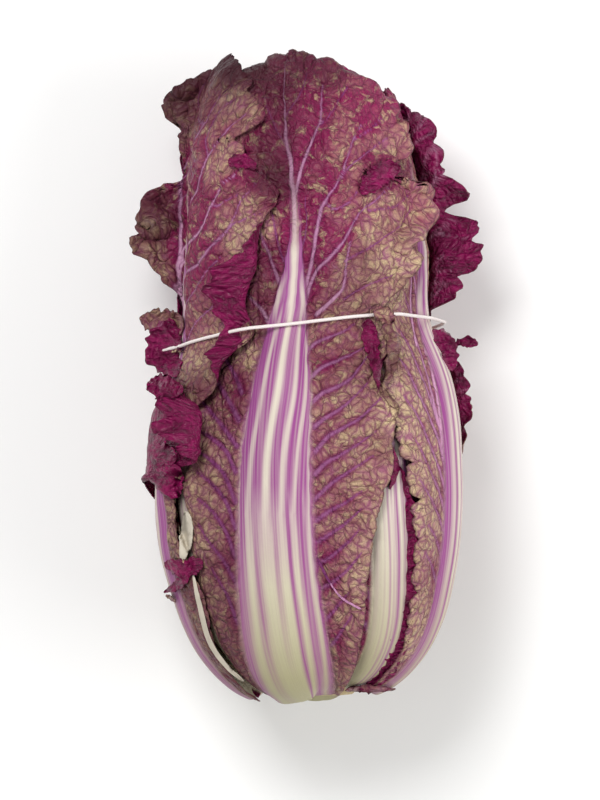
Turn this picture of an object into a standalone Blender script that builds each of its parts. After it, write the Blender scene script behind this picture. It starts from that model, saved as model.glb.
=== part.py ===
"""A red-leaved napa cabbage with a thin elastic band round it, lying down.

The head lies along Y, cut stem at -Y and leaf tips at +Y, and its front faces +Z.
The origin is on the surface that it lies on, under the middle of the head.
Sizes are in millimetres, and MM turns them into Blender's metres.

A place on the head is given by an angle, a way and a lift. The angle goes round
the head, 0 at the front and 90 degrees at +X. The way runs along the outside of
the heart, from the stem to the middle of its top. The lift stands off the heart.
Leaves are laid on the heart one after another, each resting on those below it.
"""

import math

import bmesh
import bpy
import numpy as np
from mathutils import Matrix

MM = 0.001
HEAD = "napa_cabbage"

# The outline that the leaves lie on: radius and height, from the stem to the middle of the top
OUTLINE = (
    (24, 14), (35, 18), (45, 26), (53.5, 38), (60.5, 57), (65.5, 80), (67.5, 105), (67, 130),
    (64.5, 155), (61, 180), (57.5, 206), (55.5, 230), (53.5, 254), (50, 279), (44, 301),
    (34, 319), (18, 329), (0, 332),
)
# The head's middle line: height, shift to +X and shift up
MIDDLE_LINE = (
    (0, 4, 0), (100, 4, 0), (150, 4, -2.0), (180, 3, -6.2), (206, 2, -10.8), (240, 0, -14.8),
    (280, -3, -16), (335, -4, -17),
)
FLATTENING = 0.93          # the head is a little lower than wide, from its own weight
AXIS_HEIGHT = 78.8
MIDDLE_Y = 165.0           # height on the head that lies over the origin

# Laying leaves on each other
ANGLE_CELLS = 144
WAY_CELL = 3.0
LEAF_GAP = 1.5
SPREAD_CELLS = 4

# Leaves
BLADE = 0.9
COLUMNS = 12
ROWS = 22
RIB_SHARE = 0.34           # the share of the columns that the rib takes
TOP_ROUNDING = 2.4
RUFFLE_DEPTH = 15.0
RUFFLE_LENGTH = 33.0
LOBE_DEPTH = 2.2           # how far the margin swings in and out
BEND_RADIUS = 5.0

# The elastic band
BAND_WAY = 187.0           # where it crosses the sides, halfway between them
BAND_TILT = 8.0            # how far it climbs from left to right
BAND_RISE = 8.0            # and from the sides to the front
BAND_THICKNESS = 1.8
BAND_PINCH = 5.6           # how deep it draws the leaves in
BAND_PINCH_WIDTH = 22.0
BAND_PASS_WIDTH = 9.0      # a turned edge is cut back this far on either side of the band
BAND_GAP = 1.2             # the leaves stand a little proud of the field that they are laid in
BAND_POINTS = 72

# The stem
STEM_RADIUS = 21.5
STEM_CUT = 4.5             # height of the cut face
STEM_TOP = 15.0

# The heart
HEART_DEPTH = 1.4          # how far it stays under the innermost leaves
HEART_SINK = 9.0           # how far its top stays under the leaf tips

REST_BLOCK = 400.0         # the block that presses the underside flat

# Each leaf, from the innermost outwards. A station is: way, angle of the rib,
# reach to the left, reach to the right, half width of the rib. A curl row is:
# way, turn of the edge in degrees, width that turns.
LEAVES = (
    dict(
        name="leaf_inner_back",
        stations=(
            (0, 170, 14, 14, 12), (41, 170, 22, 22, 15), (100, 172, 34, 34, 15), (150, 173, 46, 46, 12),
            (200, 172, 52, 52, 8), (245, 170, 52, 52, 5), (285, 168, 46, 46, 3), (326, 165, 34, 34, 1.5),
        ),
        drop=34, rib=5.0, ruffle=0.0, phase=1.4, columns=10, rows=16,
    ),
    dict(
        name="leaf_inner_right",
        stations=(
            (0, 45, 14, 14, 12), (41, 40, 22, 24, 14.5), (70, 36, 26, 30, 14.5), (100, 33, 32, 36, 14),
            (150, 32, 46, 45, 11.5), (200, 32, 54, 54, 8), (245, 32, 54, 53, 5), (285, 33, 48, 48, 3),
            (330, 34, 34, 34, 1.5),
        ),
        drop=34, rib=7.0, ruffle=0.0, phase=0.4, columns=10, rows=16,
    ),
    dict(
        name="leaf_inner_left",
        stations=(
            (0, -52, 14, 14, 12), (41, -51, 20, 20, 14), (70, -54, 22, 22, 14), (100, -62, 26, 26, 13),
            (150, -64, 42, 38, 10), (200, -64, 50, 46, 7), (245, -63, 50, 46, 4), (280, -62, 44, 42, 2.5),
            (320, -62, 34, 34, 1.5),
        ),
        drop=32, rib=7.0, ruffle=0.0, phase=2.1, columns=10, rows=16,
    ),
    dict(
        name="leaf_right",
        stations=(
            (0, 76, 18, 18, 15), (35, 76, 31, 26, 19), (58, 76, 41, 29, 20), (85, 76, 47, 33, 19.5),
            (110, 75.5, 52, 36, 18.5), (128, 75, 57, 38, 17.5), (155, 74, 63, 42, 15.5), (195, 72, 64, 44, 11),
            (235, 73, 64, 44, 7), (275, 74, 54, 40, 3.5), (314, 74, 36, 32, 1.8),
        ),
        drop=38, rib=9.0, first=7, ruffle=1.0, phase=3.0,
    ),
    dict(
        name="leaf_front",
        stations=(
            (0, -11.5, 26, 24, 23), (26, -13.5, 35, 37, 25.5), (53, -14.8, 44, 45, 24.5), (85, -15.7, 50, 51, 23),
            (112, -16, 54, 58, 22), (135, -15.7, 54, 62, 20.5), (160, -14, 56, 64, 18), (188, -12, 56, 66, 14),
            (206, -9.4, 57, 69, 10.5), (222, -7, 57, 72, 6.5), (237, -5.6, 56, 80, 4.6), (258, -4.8, 55, 94, 3.6),
            (278, -5.4, 52, 74, 2.8), (300, -6, 48, 70, 2.2), (335, -7, 42, 50, 1.5),
        ),
        curl_right=((0, 110, 0), (138, 110, 0), (160, 115, 14), (182, 115, 14), (206, 60, 12), (245, 14, 24),
                    (270, 25, 22), (310, 0, 0)),
        drop=30, rib=10.0, foot=0.98, ruffle=2.4, phase=1.0,
    ),
    dict(
        name="leaf_left",
        stations=(
            (0, -78, 18, 18, 15), (35, -78, 25, 29, 19), (61, -78, 27, 37, 20), (86, -78, 28, 28, 19),
            (128, -78, 27, 29, 17), (150, -78, 24, 38, 14.5), (166, -78, 22, 56, 13), (186, -78, 20, 82, 11),
            (204, -80, 16, 88, 7.5), (218, -80, 28, 88, 6.5), (236, -80, 42, 84, 5), (250, -80, 36, 76, 4.2),
            (262, -80, 30, 76, 3.8), (274, -79, 18, 62, 3.4), (285, -79, 20, 58, 3), (302, -78, 32, 66, 2.2),
            (330, -68, 28, 58, 1.5),
        ),
        curl_left=((0, 90, 0), (204, 90, 0), (218, 86, 18), (236, 84, 33), (250, 80, 28), (262, 84, 20),
                   (274, 86, 8), (285, 84, 10), (302, 78, 25), (330, 70, 20)),
        curl_right=((0, 120, 0), (158, 120, 0), (186, 145, 24), (208, 150, 26), (226, 145, 22),
                    (244, 110, 8), (260, 100, 0), (330, 100, 0)),
        drop=34, rib=8.5, first=7, ruffle=2.6, phase=0.0, columns=14,
    ),
    dict(
        name="leaf_back_left",
        stations=(
            (0, -123, 18, 18, 15), (41, -122, 32, 26, 19), (80, -120, 42, 28, 18), (90, -119, 46, 30, 16),
            (104, -119, 48, 58, 15.5), (115, -119, 48, 94, 15), (125, -119, 50, 122, 14),
            (135, -119, 50, 134, 13.5), (149, -119, 50, 130, 12.5), (160, -119, 50, 101, 12),
            (170, -119, 50, 60, 11.5),
            (179, -119, 50, 40, 11), (193, -119, 50, 42, 9), (208, -119, 50, 24, 8),
            (245, -119, 50, 18, 5), (285, -118, 46, 18, 3), (310, -118, 34, 18, 1.6),
        ),
        curl_right=((0, 120, 0), (98, 130, 0), (115, 148, 9), (125, 154, 21), (135, 158, 29), (149, 156, 29),
                    (160, 126, 20), (170, 95, 10), (179, 84, 6), (193, 84, 15), (208, 84, 0), (310, 84, 0)),
        drop=36, rib=8.5, ruffle=2.6, phase=0.2, columns=15,
    ),
    dict(
        name="leaf_back_right",
        stations=(
            (0, 124, 18, 18, 15), (41, 126, 28, 32, 19), (100, 129, 44, 46, 18), (135, 130, 54, 50, 16),
            (160, 130, 58, 50, 14), (190, 130, 50, 52, 11), (222, 129, 65, 50, 7), (250, 128, 67, 50, 5),
            (272, 127, 58, 48, 3.5), (293, 126, 64, 44, 2.5), (316, 125, 46, 34, 1.6),
        ),
        curl_left=((0, 80, 0), (110, 80, 0), (135, 76, 9), (160, 76, 13), (188, 80, 8), (222, 80, 26),
                   (250, 82, 28), (272, 80, 14), (293, 78, 26), (316, 70, 20)),
        drop=30, rib=8.5, ruffle=2.6, phase=2.4,
    ),
    dict(
        name="leaf_back",
        stations=(
            (0, 180, 21, 21, 18), (47, 180, 36, 36, 22), (100, 180, 48, 48, 20), (150, 180, 54, 54, 18),
            (200, 180, 54, 54, 14), (245, 180, 52, 52, 10), (285, 180, 46, 46, 6), (310, 180, 34, 34, 3),
        ),
        drop=36, rib=11.0, ruffle=1.6, phase=1.3,
    ),
)


def through(rows, at):
    """A smooth curve through rows that begin with a position, read at some positions."""
    rows = np.asarray(rows, float)
    start, value = rows[:, 0], rows[:, 1:]
    slope = np.gradient(value, start, axis=0)
    at = np.clip(at, start[0], start[-1])
    i = np.clip(np.searchsorted(start, at) - 1, 0, len(start) - 2)
    step = (start[i + 1] - start[i])[..., None]
    f = (at - start[i])[..., None] / step
    return (
        value[i] * (1 + 2 * f) * (1 - f) ** 2
        + value[i + 1] * f**2 * (3 - 2 * f)
        + step * (slope[i] * f * (1 - f) ** 2 - slope[i + 1] * f**2 * (1 - f))
    )


def outline():
    """Way, radius, height and outward direction along the outline."""
    corners = np.asarray(OUTLINE, float)
    rows = np.column_stack([np.arange(len(corners)), corners])
    fine = through(rows, np.linspace(0, len(corners) - 1, 600))
    step = np.diff(fine, axis=0)
    way = np.concatenate([[0], np.cumsum(np.hypot(step[:, 0], step[:, 1]))])
    along = np.gradient(fine, way, axis=0)
    along /= np.linalg.norm(along, axis=1)[:, None]
    return np.column_stack([way, fine, along[:, 1], -along[:, 0]])


LINE = outline()
FULL_WAY = LINE[-1, 0]


def line_at(way):
    """Radius, height and outward direction of the outline at a way along it."""
    return [np.interp(way, LINE[:, 0], LINE[:, k]) for k in range(1, 5)]


def arc_radius(way):
    """The radius at which a leaf's reach is measured round the head."""
    return np.maximum(line_at(way)[0] + 12, 26)


def band_way(angle):
    return BAND_WAY + BAND_TILT * np.sin(angle) + BAND_RISE * np.cos(angle)


def by_band(angle, way, width):
    """0 far from the band and 1 under it."""
    return np.exp(-(((way - band_way(angle)) / width) ** 2))


def place(angle, way, lift):
    """The point in metres at an angle, a way and a lift."""
    radius, height, outward, upward = line_at(way)
    lift = lift - BAND_PINCH * by_band(angle, way, BAND_PINCH_WIDTH)
    radius = radius + lift * outward
    height = height + lift * upward
    middle = through(MIDDLE_LINE, height)
    x = middle[..., 0] + radius * np.sin(angle)
    z = middle[..., 1] + AXIS_HEIGHT + FLATTENING * radius * np.cos(angle)
    return np.stack([x, height - MIDDLE_Y, z], axis=-1) * MM


def leaf_top(leaf, s):
    """How far along its way a leaf reaches at a column, rounded off to the sides."""
    return leaf["stations"][-1][0] - leaf["drop"] * np.abs(s) ** TOP_ROUNDING


def leaf_widths(leaf, way):
    """Angle of the rib, reach to each side and half width of the rib."""
    row = through(leaf["stations"], way)
    swing = LOBE_DEPTH * np.clip((way - 90) / 60, 0, 1) * np.sin(2 * math.pi * way / RUFFLE_LENGTH + leaf["phase"])
    return np.radians(row[..., 0]), row[..., 1] + swing, row[..., 2] - swing, row[..., 3]


def leaf_sides(leaf, side, way):
    """On one side (-1 or 1) at a way: where the turning starts, the reach and the turn."""
    rib, left, right, _ = leaf_widths(leaf, way)
    turns = []
    for name in ("curl_left", "curl_right"):
        turns.append(np.maximum(through(leaf.get(name, ((0, 0, 0), (400, 0, 0))), way), 0))
    row = np.where((side < 0)[..., None], turns[0], turns[1])
    flat = np.where(side < 0, left, right) - row[..., 1]
    held = 1 - by_band(rib + side * flat / arc_radius(way), way, BAND_PASS_WIDTH)
    return flat, flat + row[..., 1] * held, np.radians(row[..., 0])


def rib_height(leaf, across, way):
    """Thickness of a leaf: a thick rounded rib that thins towards the tip, and the blade."""
    half = leaf_widths(leaf, way)[3]
    tip = leaf["stations"][-1][0]
    fade = np.clip(1 - way / tip, 0, 1) ** 0.8
    foot = leaf.get("foot", 0.62)
    foot = foot + (1 - foot) * np.clip(way / 50, 0, 1)
    crown = np.clip(1 - (np.abs(across) / half) ** 2.6, 0, 1)
    return BLADE + (leaf["rib"] * fade * foot) * crown * np.clip(half / 10, 0.15, 1)


def ruffle_height(leaf, to_edge, way):
    """How far a margin waves outwards at most."""
    return leaf["ruffle"] * np.clip((way - 60) / 60, 0, 1) * np.exp(-((to_edge / RUFFLE_DEPTH) ** 2))


def lay(leaf, stack):
    """Height field that a leaf rests on, and the stack with the leaf laid on it."""
    angles = np.arange(ANGLE_CELLS) * 2 * math.pi / ANGLE_CELLS
    ways = np.arange(stack.shape[1]) * WAY_CELL
    rest = smooth_over(stack + LEAF_GAP)
    rib = leaf_widths(leaf, ways)[0]
    turn = (angles[:, None] - rib + math.pi) % (2 * math.pi) - math.pi
    across = turn * arc_radius(ways)
    side = np.sign(across)
    flat, reach, turned = leaf_sides(leaf, side, np.broadcast_to(ways, across.shape))
    edge = np.where(turned > 0.5, flat + BEND_RADIUS, reach)
    s = np.clip(across / reach, -1, 1)
    covered = (np.abs(across) <= edge + WAY_CELL) & (ways <= leaf_top(leaf, s) + WAY_CELL)
    to_edge = np.minimum(reach - np.abs(across), leaf_top(leaf, s) - ways)
    over = rest + rib_height(leaf, across, ways) + ruffle_height(leaf, np.maximum(to_edge, 0), ways)
    return rest, np.where(covered, np.maximum(stack, over), stack)


def smooth_over(field):
    """A smooth field that is nowhere below the given one. It goes round in the first axis."""
    pad = SPREAD_CELLS
    high = np.pad(field, ((0, 0), (pad, pad)), mode="edge")
    for axis in (0, 1):
        high = np.max([np.roll(high, k, axis) for k in range(-pad, pad + 1)], axis=0)
    for _ in range(2):
        for axis in (0, 1):
            high = np.mean([np.roll(high, k, axis) for k in range(-(pad // 2), pad // 2 + 1)], axis=0)
    return high[:, pad:-pad]


def read_field(field, angle, way):
    """A field's value between its cells."""
    i = (angle / (2 * math.pi) * ANGLE_CELLS) % ANGLE_CELLS
    j = np.clip(way / WAY_CELL, 0, field.shape[1] - 1.001)
    i0, j0 = np.floor(i).astype(int), np.floor(j).astype(int)
    fi, fj = i - i0, j - j0
    i0, i1 = i0 % ANGLE_CELLS, (i0 + 1) % ANGLE_CELLS
    return (
        (field[i0, j0] * (1 - fi) + field[i1, j0] * fi) * (1 - fj)
        + (field[i0, j0 + 1] * (1 - fi) + field[i1, j0 + 1] * fi) * fj
    )


def leaf_points(leaf, rest, s, t):
    """Inner face of a leaf at columns s from -1 to 1 and rows t from 0 to 1, and its thickness there."""
    t = t + 0.045 * np.sin(2 * math.pi * (t - 0.06))
    t = (t - t.min()) / (t.max() - t.min())
    first = leaf.get("first", 0)
    way = first + t * (leaf_top(leaf, s) - first)
    side = np.where(s < 0, -1.0, 1.0)
    rib, _, _, half = leaf_widths(leaf, way)
    flat, reach, turned = leaf_sides(leaf, side, way)
    zone = np.minimum(np.hypot(half, 0.2 * reach), 0.72 * reach)
    share = np.abs(s)
    blade = zone + (share - RIB_SHARE) / (1 - RIB_SHARE) * (reach - zone)
    across = np.where(share < RIB_SHARE, share / RIB_SHARE * zone, blade)
    beyond = np.maximum(across - flat, 0)
    bend = np.minimum(beyond / BEND_RADIUS, turned)
    straight = np.maximum(beyond - BEND_RADIUS * bend, 0)
    forward = np.minimum(across, flat) + BEND_RADIUS * np.sin(bend) + straight * np.cos(bend)
    lifted = BEND_RADIUS * (1 - np.cos(bend)) + straight * np.sin(bend)
    to_edge = np.minimum(reach - across, leaf_top(leaf, s) - way)
    wave = 0.5 + 0.5 * np.sin(2 * math.pi * (across - way) / RUFFLE_LENGTH + leaf["phase"] + side)
    band_free = 1 - by_band(rib + side * across / arc_radius(way), way, BAND_PINCH_WIDTH)
    ruffle = ruffle_height(leaf, to_edge, way) * wave * band_free
    forward -= ruffle * np.sin(bend)
    lifted += ruffle * np.abs(np.cos(bend))
    angle = rib + side * forward / arc_radius(way)
    held = rib + side * np.minimum(across, flat) / arc_radius(way)
    lift = read_field(rest, held, way) + lifted
    return angle, way, lift, rib_height(leaf, side * across, way)


def new_mesh_object(name, mesh):
    obj = bpy.data.objects.new(name, mesh)
    bpy.data.collections[HEAD].objects.link(obj)
    return obj


def make_leaf(leaf, rest, material):
    """One leaf: a grid laid on the stack, thickened outwards by its rib and blade."""
    rows, columns = leaf.get("rows", ROWS), leaf.get("columns", COLUMNS)
    bm = bmesh.new()
    bmesh.ops.create_grid(bm, x_segments=columns, y_segments=rows, size=1)
    s, t = np.array([v.co[:2] for v in bm.verts]).T
    angle, way, lift, thickness = leaf_points(leaf, rest, s, (t + 1) / 2)
    for vert, point in zip(bm.verts, place(angle, way, lift)):
        vert.co = point
    bmesh.ops.triangulate(bm, faces=bm.faces, quad_method="SHORT_EDGE")
    mesh = bpy.data.meshes.new(leaf["name"])
    bm.to_mesh(mesh)
    bm.free()
    obj = new_mesh_object(leaf["name"], mesh)
    thickest = float(thickness.max())
    group = obj.vertex_groups.new(name="thickness")
    for i, value in enumerate(thickness):
        group.add([i], float(value) / thickest, "REPLACE")
    shell = obj.modifiers.new("shell", "SOLIDIFY")
    shell.thickness = thickest * MM
    shell.offset = 1
    shell.vertex_group = "thickness"
    mesh.materials.append(material)
    mesh.shade_smooth()
    return obj


def make_heart(material):
    """The closed heart under the leaves, crumpled at its top."""
    bm = bmesh.new()
    bmesh.ops.create_uvsphere(bm, u_segments=30, v_segments=18, radius=1)
    points = np.array([v.co[:] for v in bm.verts])
    angle = np.arctan2(points[:, 0], points[:, 1])
    share = 1 - np.arccos(np.clip(points[:, 2], -1, 1)) / math.pi
    way = share * FULL_WAY
    upper = np.clip((way - 250) / 90, 0, 1)
    fold = 3 * upper * (1 + np.sin(5 * angle + way / 12)) * (1 - share) * 4
    lift = -HEART_DEPTH - HEART_SINK * upper**2 * (3 - 2 * upper) - fold
    foot = np.array([MIDDLE_LINE[0][1] * MM, (OUTLINE[0][1] + 3 - MIDDLE_Y) * MM, AXIS_HEIGHT * MM])
    for vert, point, up in zip(bm.verts, place(angle, way, lift), share):
        vert.co = point if up > 0.01 else foot
    bmesh.ops.recalc_face_normals(bm, faces=bm.faces)
    mesh = bpy.data.meshes.new("heart")
    bm.to_mesh(mesh)
    bm.free()
    mesh.materials.append(material)
    mesh.shade_smooth()
    return new_mesh_object("heart", mesh)


def make_stem(material):
    """The short stem between the feet of the leaves, cut flat across."""
    bm = bmesh.new()
    bmesh.ops.create_cone(
        bm, cap_ends=True, segments=28, radius1=STEM_RADIUS - 1.5, radius2=STEM_RADIUS, depth=STEM_TOP - STEM_CUT,
    )
    bmesh.ops.rotate(bm, cent=(0, 0, 0), matrix=Matrix.Rotation(math.radians(-90), 3, "X"), verts=bm.verts)
    bmesh.ops.scale(bm, vec=(1, 1, FLATTENING), verts=bm.verts)
    middle = (MIDDLE_LINE[0][1], (STEM_TOP + STEM_CUT) / 2 - MIDDLE_Y, AXIS_HEIGHT)
    bmesh.ops.translate(bm, vec=middle, verts=bm.verts)
    bmesh.ops.scale(bm, vec=(MM, MM, MM), verts=bm.verts)
    mesh = bpy.data.meshes.new("stem")
    bm.to_mesh(mesh)
    bm.free()
    mesh.materials.append(material)
    return new_mesh_object("stem", mesh)


def band_path(stack):
    """Middle of the band in metres: pulled tight round the leaves that it crosses."""
    angle = np.arange(BAND_POINTS) * 2 * math.pi / BAND_POINTS
    way = band_way(angle)
    near = [(turn, shift) for turn in (-0.05, 0, 0.05) for shift in (-5, 0, 5)]
    under = np.max([read_field(stack, angle + turn, way + shift) for turn, shift in near], axis=0)
    points = place(angle, way, under + BAND_THICKNESS / 2 + BAND_GAP)
    middle = points.mean(axis=0)
    for _ in range(400):
        between = (np.roll(points, 1, axis=0) + np.roll(points, -1, axis=0)) / 2
        far = np.hypot(*(between - middle)[:, ::2].T) > np.hypot(*(points - middle)[:, ::2].T)
        points[far] = between[far]
    return points


def make_band(stack, material):
    """The elastic band, a closed round cord."""
    path = band_path(stack)
    curve = bpy.data.curves.new("elastic_band", "CURVE")
    curve.dimensions = "3D"
    curve.bevel_depth = BAND_THICKNESS / 2 * MM
    curve.bevel_resolution = 1
    spline = curve.splines.new("POLY")
    spline.points.add(len(path) - 1)
    for point, co in zip(spline.points, path):
        point.co = (*co, 1)
    spline.use_cyclic_u = True
    curve.materials.append(material)
    return new_mesh_object("elastic_band", curve)


def press_flat(leaf_object):
    """Cut the leaf that the head lies on to a small flat face at the surface."""
    bm = bmesh.new()
    bmesh.ops.create_cube(bm, size=REST_BLOCK * MM)
    bmesh.ops.translate(bm, vec=(0, 0, -REST_BLOCK / 2 * MM), verts=bm.verts)
    mesh = bpy.data.meshes.new("rest_block")
    bm.to_mesh(mesh)
    bm.free()
    block = bpy.data.objects.new("rest_block", mesh)
    bpy.data.collections["cutters"].objects.link(block)
    block.hide_render = True
    block.display_type = "WIRE"
    cut = leaf_object.modifiers.new("rest", "BOOLEAN")
    cut.operation = "DIFFERENCE"
    cut.object = block


def make_material(name, colour, roughness):
    material = bpy.data.materials.new(name)
    material.use_nodes = True
    shader = material.node_tree.nodes["Principled BSDF"]
    shader.inputs["Base Color"].default_value = (*colour, 1)
    shader.inputs["Roughness"].default_value = roughness
    return material


def main():
    for obj in list(bpy.data.objects):
        bpy.data.objects.remove(obj)
    for name in (HEAD, "cutters"):
        bpy.context.scene.collection.children.link(bpy.data.collections.new(name))
    leaf_red = make_material("leaf_red", (0.23, 0.05, 0.14), 0.55)
    leaf_pale = make_material("leaf_pale", (0.55, 0.42, 0.45), 0.55)
    rubber = make_material("white_rubber", (0.86, 0.8, 0.78), 0.6)
    stack = np.zeros((ANGLE_CELLS, int(FULL_WAY / WAY_CELL) + 1))
    for leaf in LEAVES:
        rest, stack = lay(leaf, stack)
        made = make_leaf(leaf, rest, leaf_red)
        if leaf["name"] == "leaf_back":
            press_flat(made)
    make_heart(leaf_pale)
    make_stem(leaf_pale)
    make_band(stack, rubber)


main()
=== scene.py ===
"""Looks of a red-leaved napa cabbage with a thin elastic cord round it, lying on its back.

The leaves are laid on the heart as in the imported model, from the same sizes, on a
finer grid and with frilled margins, veins and blisters. A place on the head is an
angle, a way and a lift, as in the model. Places seen in the front view are given as
millimetres to the right of the origin and millimetres above the stem's end.
"""

import math

import bmesh
import bpy
import numpy as np
from bpy.props import FloatProperty, PointerProperty
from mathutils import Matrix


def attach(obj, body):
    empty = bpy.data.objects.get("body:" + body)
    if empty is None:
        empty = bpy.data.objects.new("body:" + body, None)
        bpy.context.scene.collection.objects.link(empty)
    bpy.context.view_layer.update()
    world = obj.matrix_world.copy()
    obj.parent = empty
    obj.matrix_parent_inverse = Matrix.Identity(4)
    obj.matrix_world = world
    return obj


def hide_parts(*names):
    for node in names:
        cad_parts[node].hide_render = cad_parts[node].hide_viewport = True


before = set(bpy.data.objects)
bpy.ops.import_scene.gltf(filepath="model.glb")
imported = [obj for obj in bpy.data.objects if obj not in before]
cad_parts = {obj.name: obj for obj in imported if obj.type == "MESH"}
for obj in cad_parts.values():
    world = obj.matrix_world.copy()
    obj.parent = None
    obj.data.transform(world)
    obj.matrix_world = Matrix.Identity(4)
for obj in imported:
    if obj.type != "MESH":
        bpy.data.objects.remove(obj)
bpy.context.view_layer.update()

bl_info = {
    "name": "Red napa cabbage",
    "version": (1, 0, 0),
    "blender": (4, 5, 0),
    "location": "3D View > Sidebar > Cabbage",
    "description": "Leaves, heart, stem and elastic cord of a red napa cabbage on its packed model",
    "category": "Object",
}

MM = 0.001

# The outline that the leaves lie on: radius and height, from the stem to the middle of the top
OUTLINE = (
    (24, 14), (35, 18), (45, 26), (53.5, 38), (60.5, 57), (65.5, 80), (67.5, 105), (67, 130),
    (64.5, 155), (61, 180), (57.5, 206), (55.5, 230), (53.5, 254), (50, 279), (44, 301),
    (34, 319), (18, 329), (0, 332),
)
# The middle of the head: height, x and z
MIDDLE_LINE = (
    (0, 4, 0), (100, 4, 0), (150, 4, -2.0), (180, 3, -6.2), (206, 2, -10.8), (240, 0, -14.8),
    (280, -3, -16), (335, -4, -17),
)
FLATTENING = 0.93
AXIS_HEIGHT = 78.8
MIDDLE_Y = 165.0

# The height field that the leaves are laid in, round the head and along it
ANGLE_CELLS = 144
WAY_CELL = 3.0
LEAF_GAP = 1.5
SPREAD_CELLS = 4

BLADE = 0.9
RIB_SHARE = 0.34           # share of a leaf's grid that its rib takes up
TOP_ROUNDING = 2.4
RIB_EDGE = 1.06            # half widths out to which a rib has its own colour
RIB_ENDS = 3.1             # half width under which it is a vein
RUFFLE_DEPTH = 15.0        # how far from the margin a leaf is ruffled
RUFFLE_LENGTH = 33.0
LOBE_DEPTH = 2.2
WAVY_FROM = (90, 60)       # way where the waves of a margin start, and how long they take to grow
BEND_RADIUS = 5.0          # of a margin that is turned outwards

BAND_WAY = 187.0
BAND_TILT = 8.0
BAND_RISE = 8.0
BAND_PINCH = 5.6
BAND_PINCH_WIDTH = 22.0
BAND_PASS_WIDTH = 9.0
BAND_HALF = 0.9
BAND_GAP = 1.2
BAND_POINTS = 72
BAND_CLEAR_WIDTH = 7.0     # small waves are left out this near the cord
FLAP = (-0.6, 0.22, 1.4)   # the left leaf's flap under the cord: angle, half width and lift
PULL_ROUNDS = 400          # of pulling the cord tight

# The left leaf's flap isn't cut back at the cord but pressed down by it
PRESSED_FLAP = "leaf_left"
FLAP_WIDTH = 8.0
FLAP_PRESS = 0.78

# Small and tiny waves of a margin: length, and how far from the margin they reach
SMALL_WAVE = (14, 7)
TINY_WAVE = (5.5, 3)
TINY_SHARE = 0.35
CRUMPLED_FROM = 190        # way above which the whole blade is a little crumpled
SWING = (22, 3.2)          # length and height of a free margin's swing

HEART_GRID = (160, 110)
HEART_DEPTH = 1.4
HEART_SINK = 9.0
HEART_TOP = (250, 90)      # way where the heart starts to close, and how long that takes

# The stem: radius and height from its cut face to the heart
STEM_CUT = 4.5
STEM_TURNS = 96
STEM_PROFILE = (
    (0, 0.4), (4, 0.2), (9, 0), (14, 0.1), (17.5, 0), (19, 0.2), (19.9, 0.7), (20.3, 1.6),
    (20.9, 6), (21.5, 13.2), (21.2, 14.0), (0, 14.0),
)

# Torn bits: cells for each told place and across, thickness, how far round it the leaves
# below are felt, how far below their top they still count, and rounds of smoothing
BIT_GRID = (16, 12)
BIT_THICKNESS = 0.6
BIT_FEEL = 1.6
BIT_HOLD = 45
BIT_SMOOTHING = 6

# Cells of the net on the blade, to the metre: areoles of 8 mm, 4 mm and 1.7 mm
NET_SCALE = 118.0
FINER_NETS = (255.0, 590.0)
CELLS = {"voronoi_dimensions": "2D", "feature": "DISTANCE_TO_EDGE"}
SMOOTH = {"interpolation_type": "SMOOTHSTEP"}
RGBA = {"out": 2, "data_type": "RGBA"}
WAX = {"IOR": 1.42, "Specular IOR Level": 0.3}

# Lamps: name, place, size and share of the light
LAMPS = (
    ("over_head", (-0.45, 0.75, 1.6), 0.7, 0.85),
    ("right_fill", (1.3, -0.3, 0.9), 1.2, 0.6),
    ("left_fill", (-1.3, -0.4, 0.8), 1.2, 0.12),
)
LAMP_AIM = (0, 0, 0.07)
ROOM_LIGHT = 0.42
CAMERA_AIM = (-3.03, -12, 75)
SENSOR = 36
FLOOR_DROP = 0.2

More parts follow.
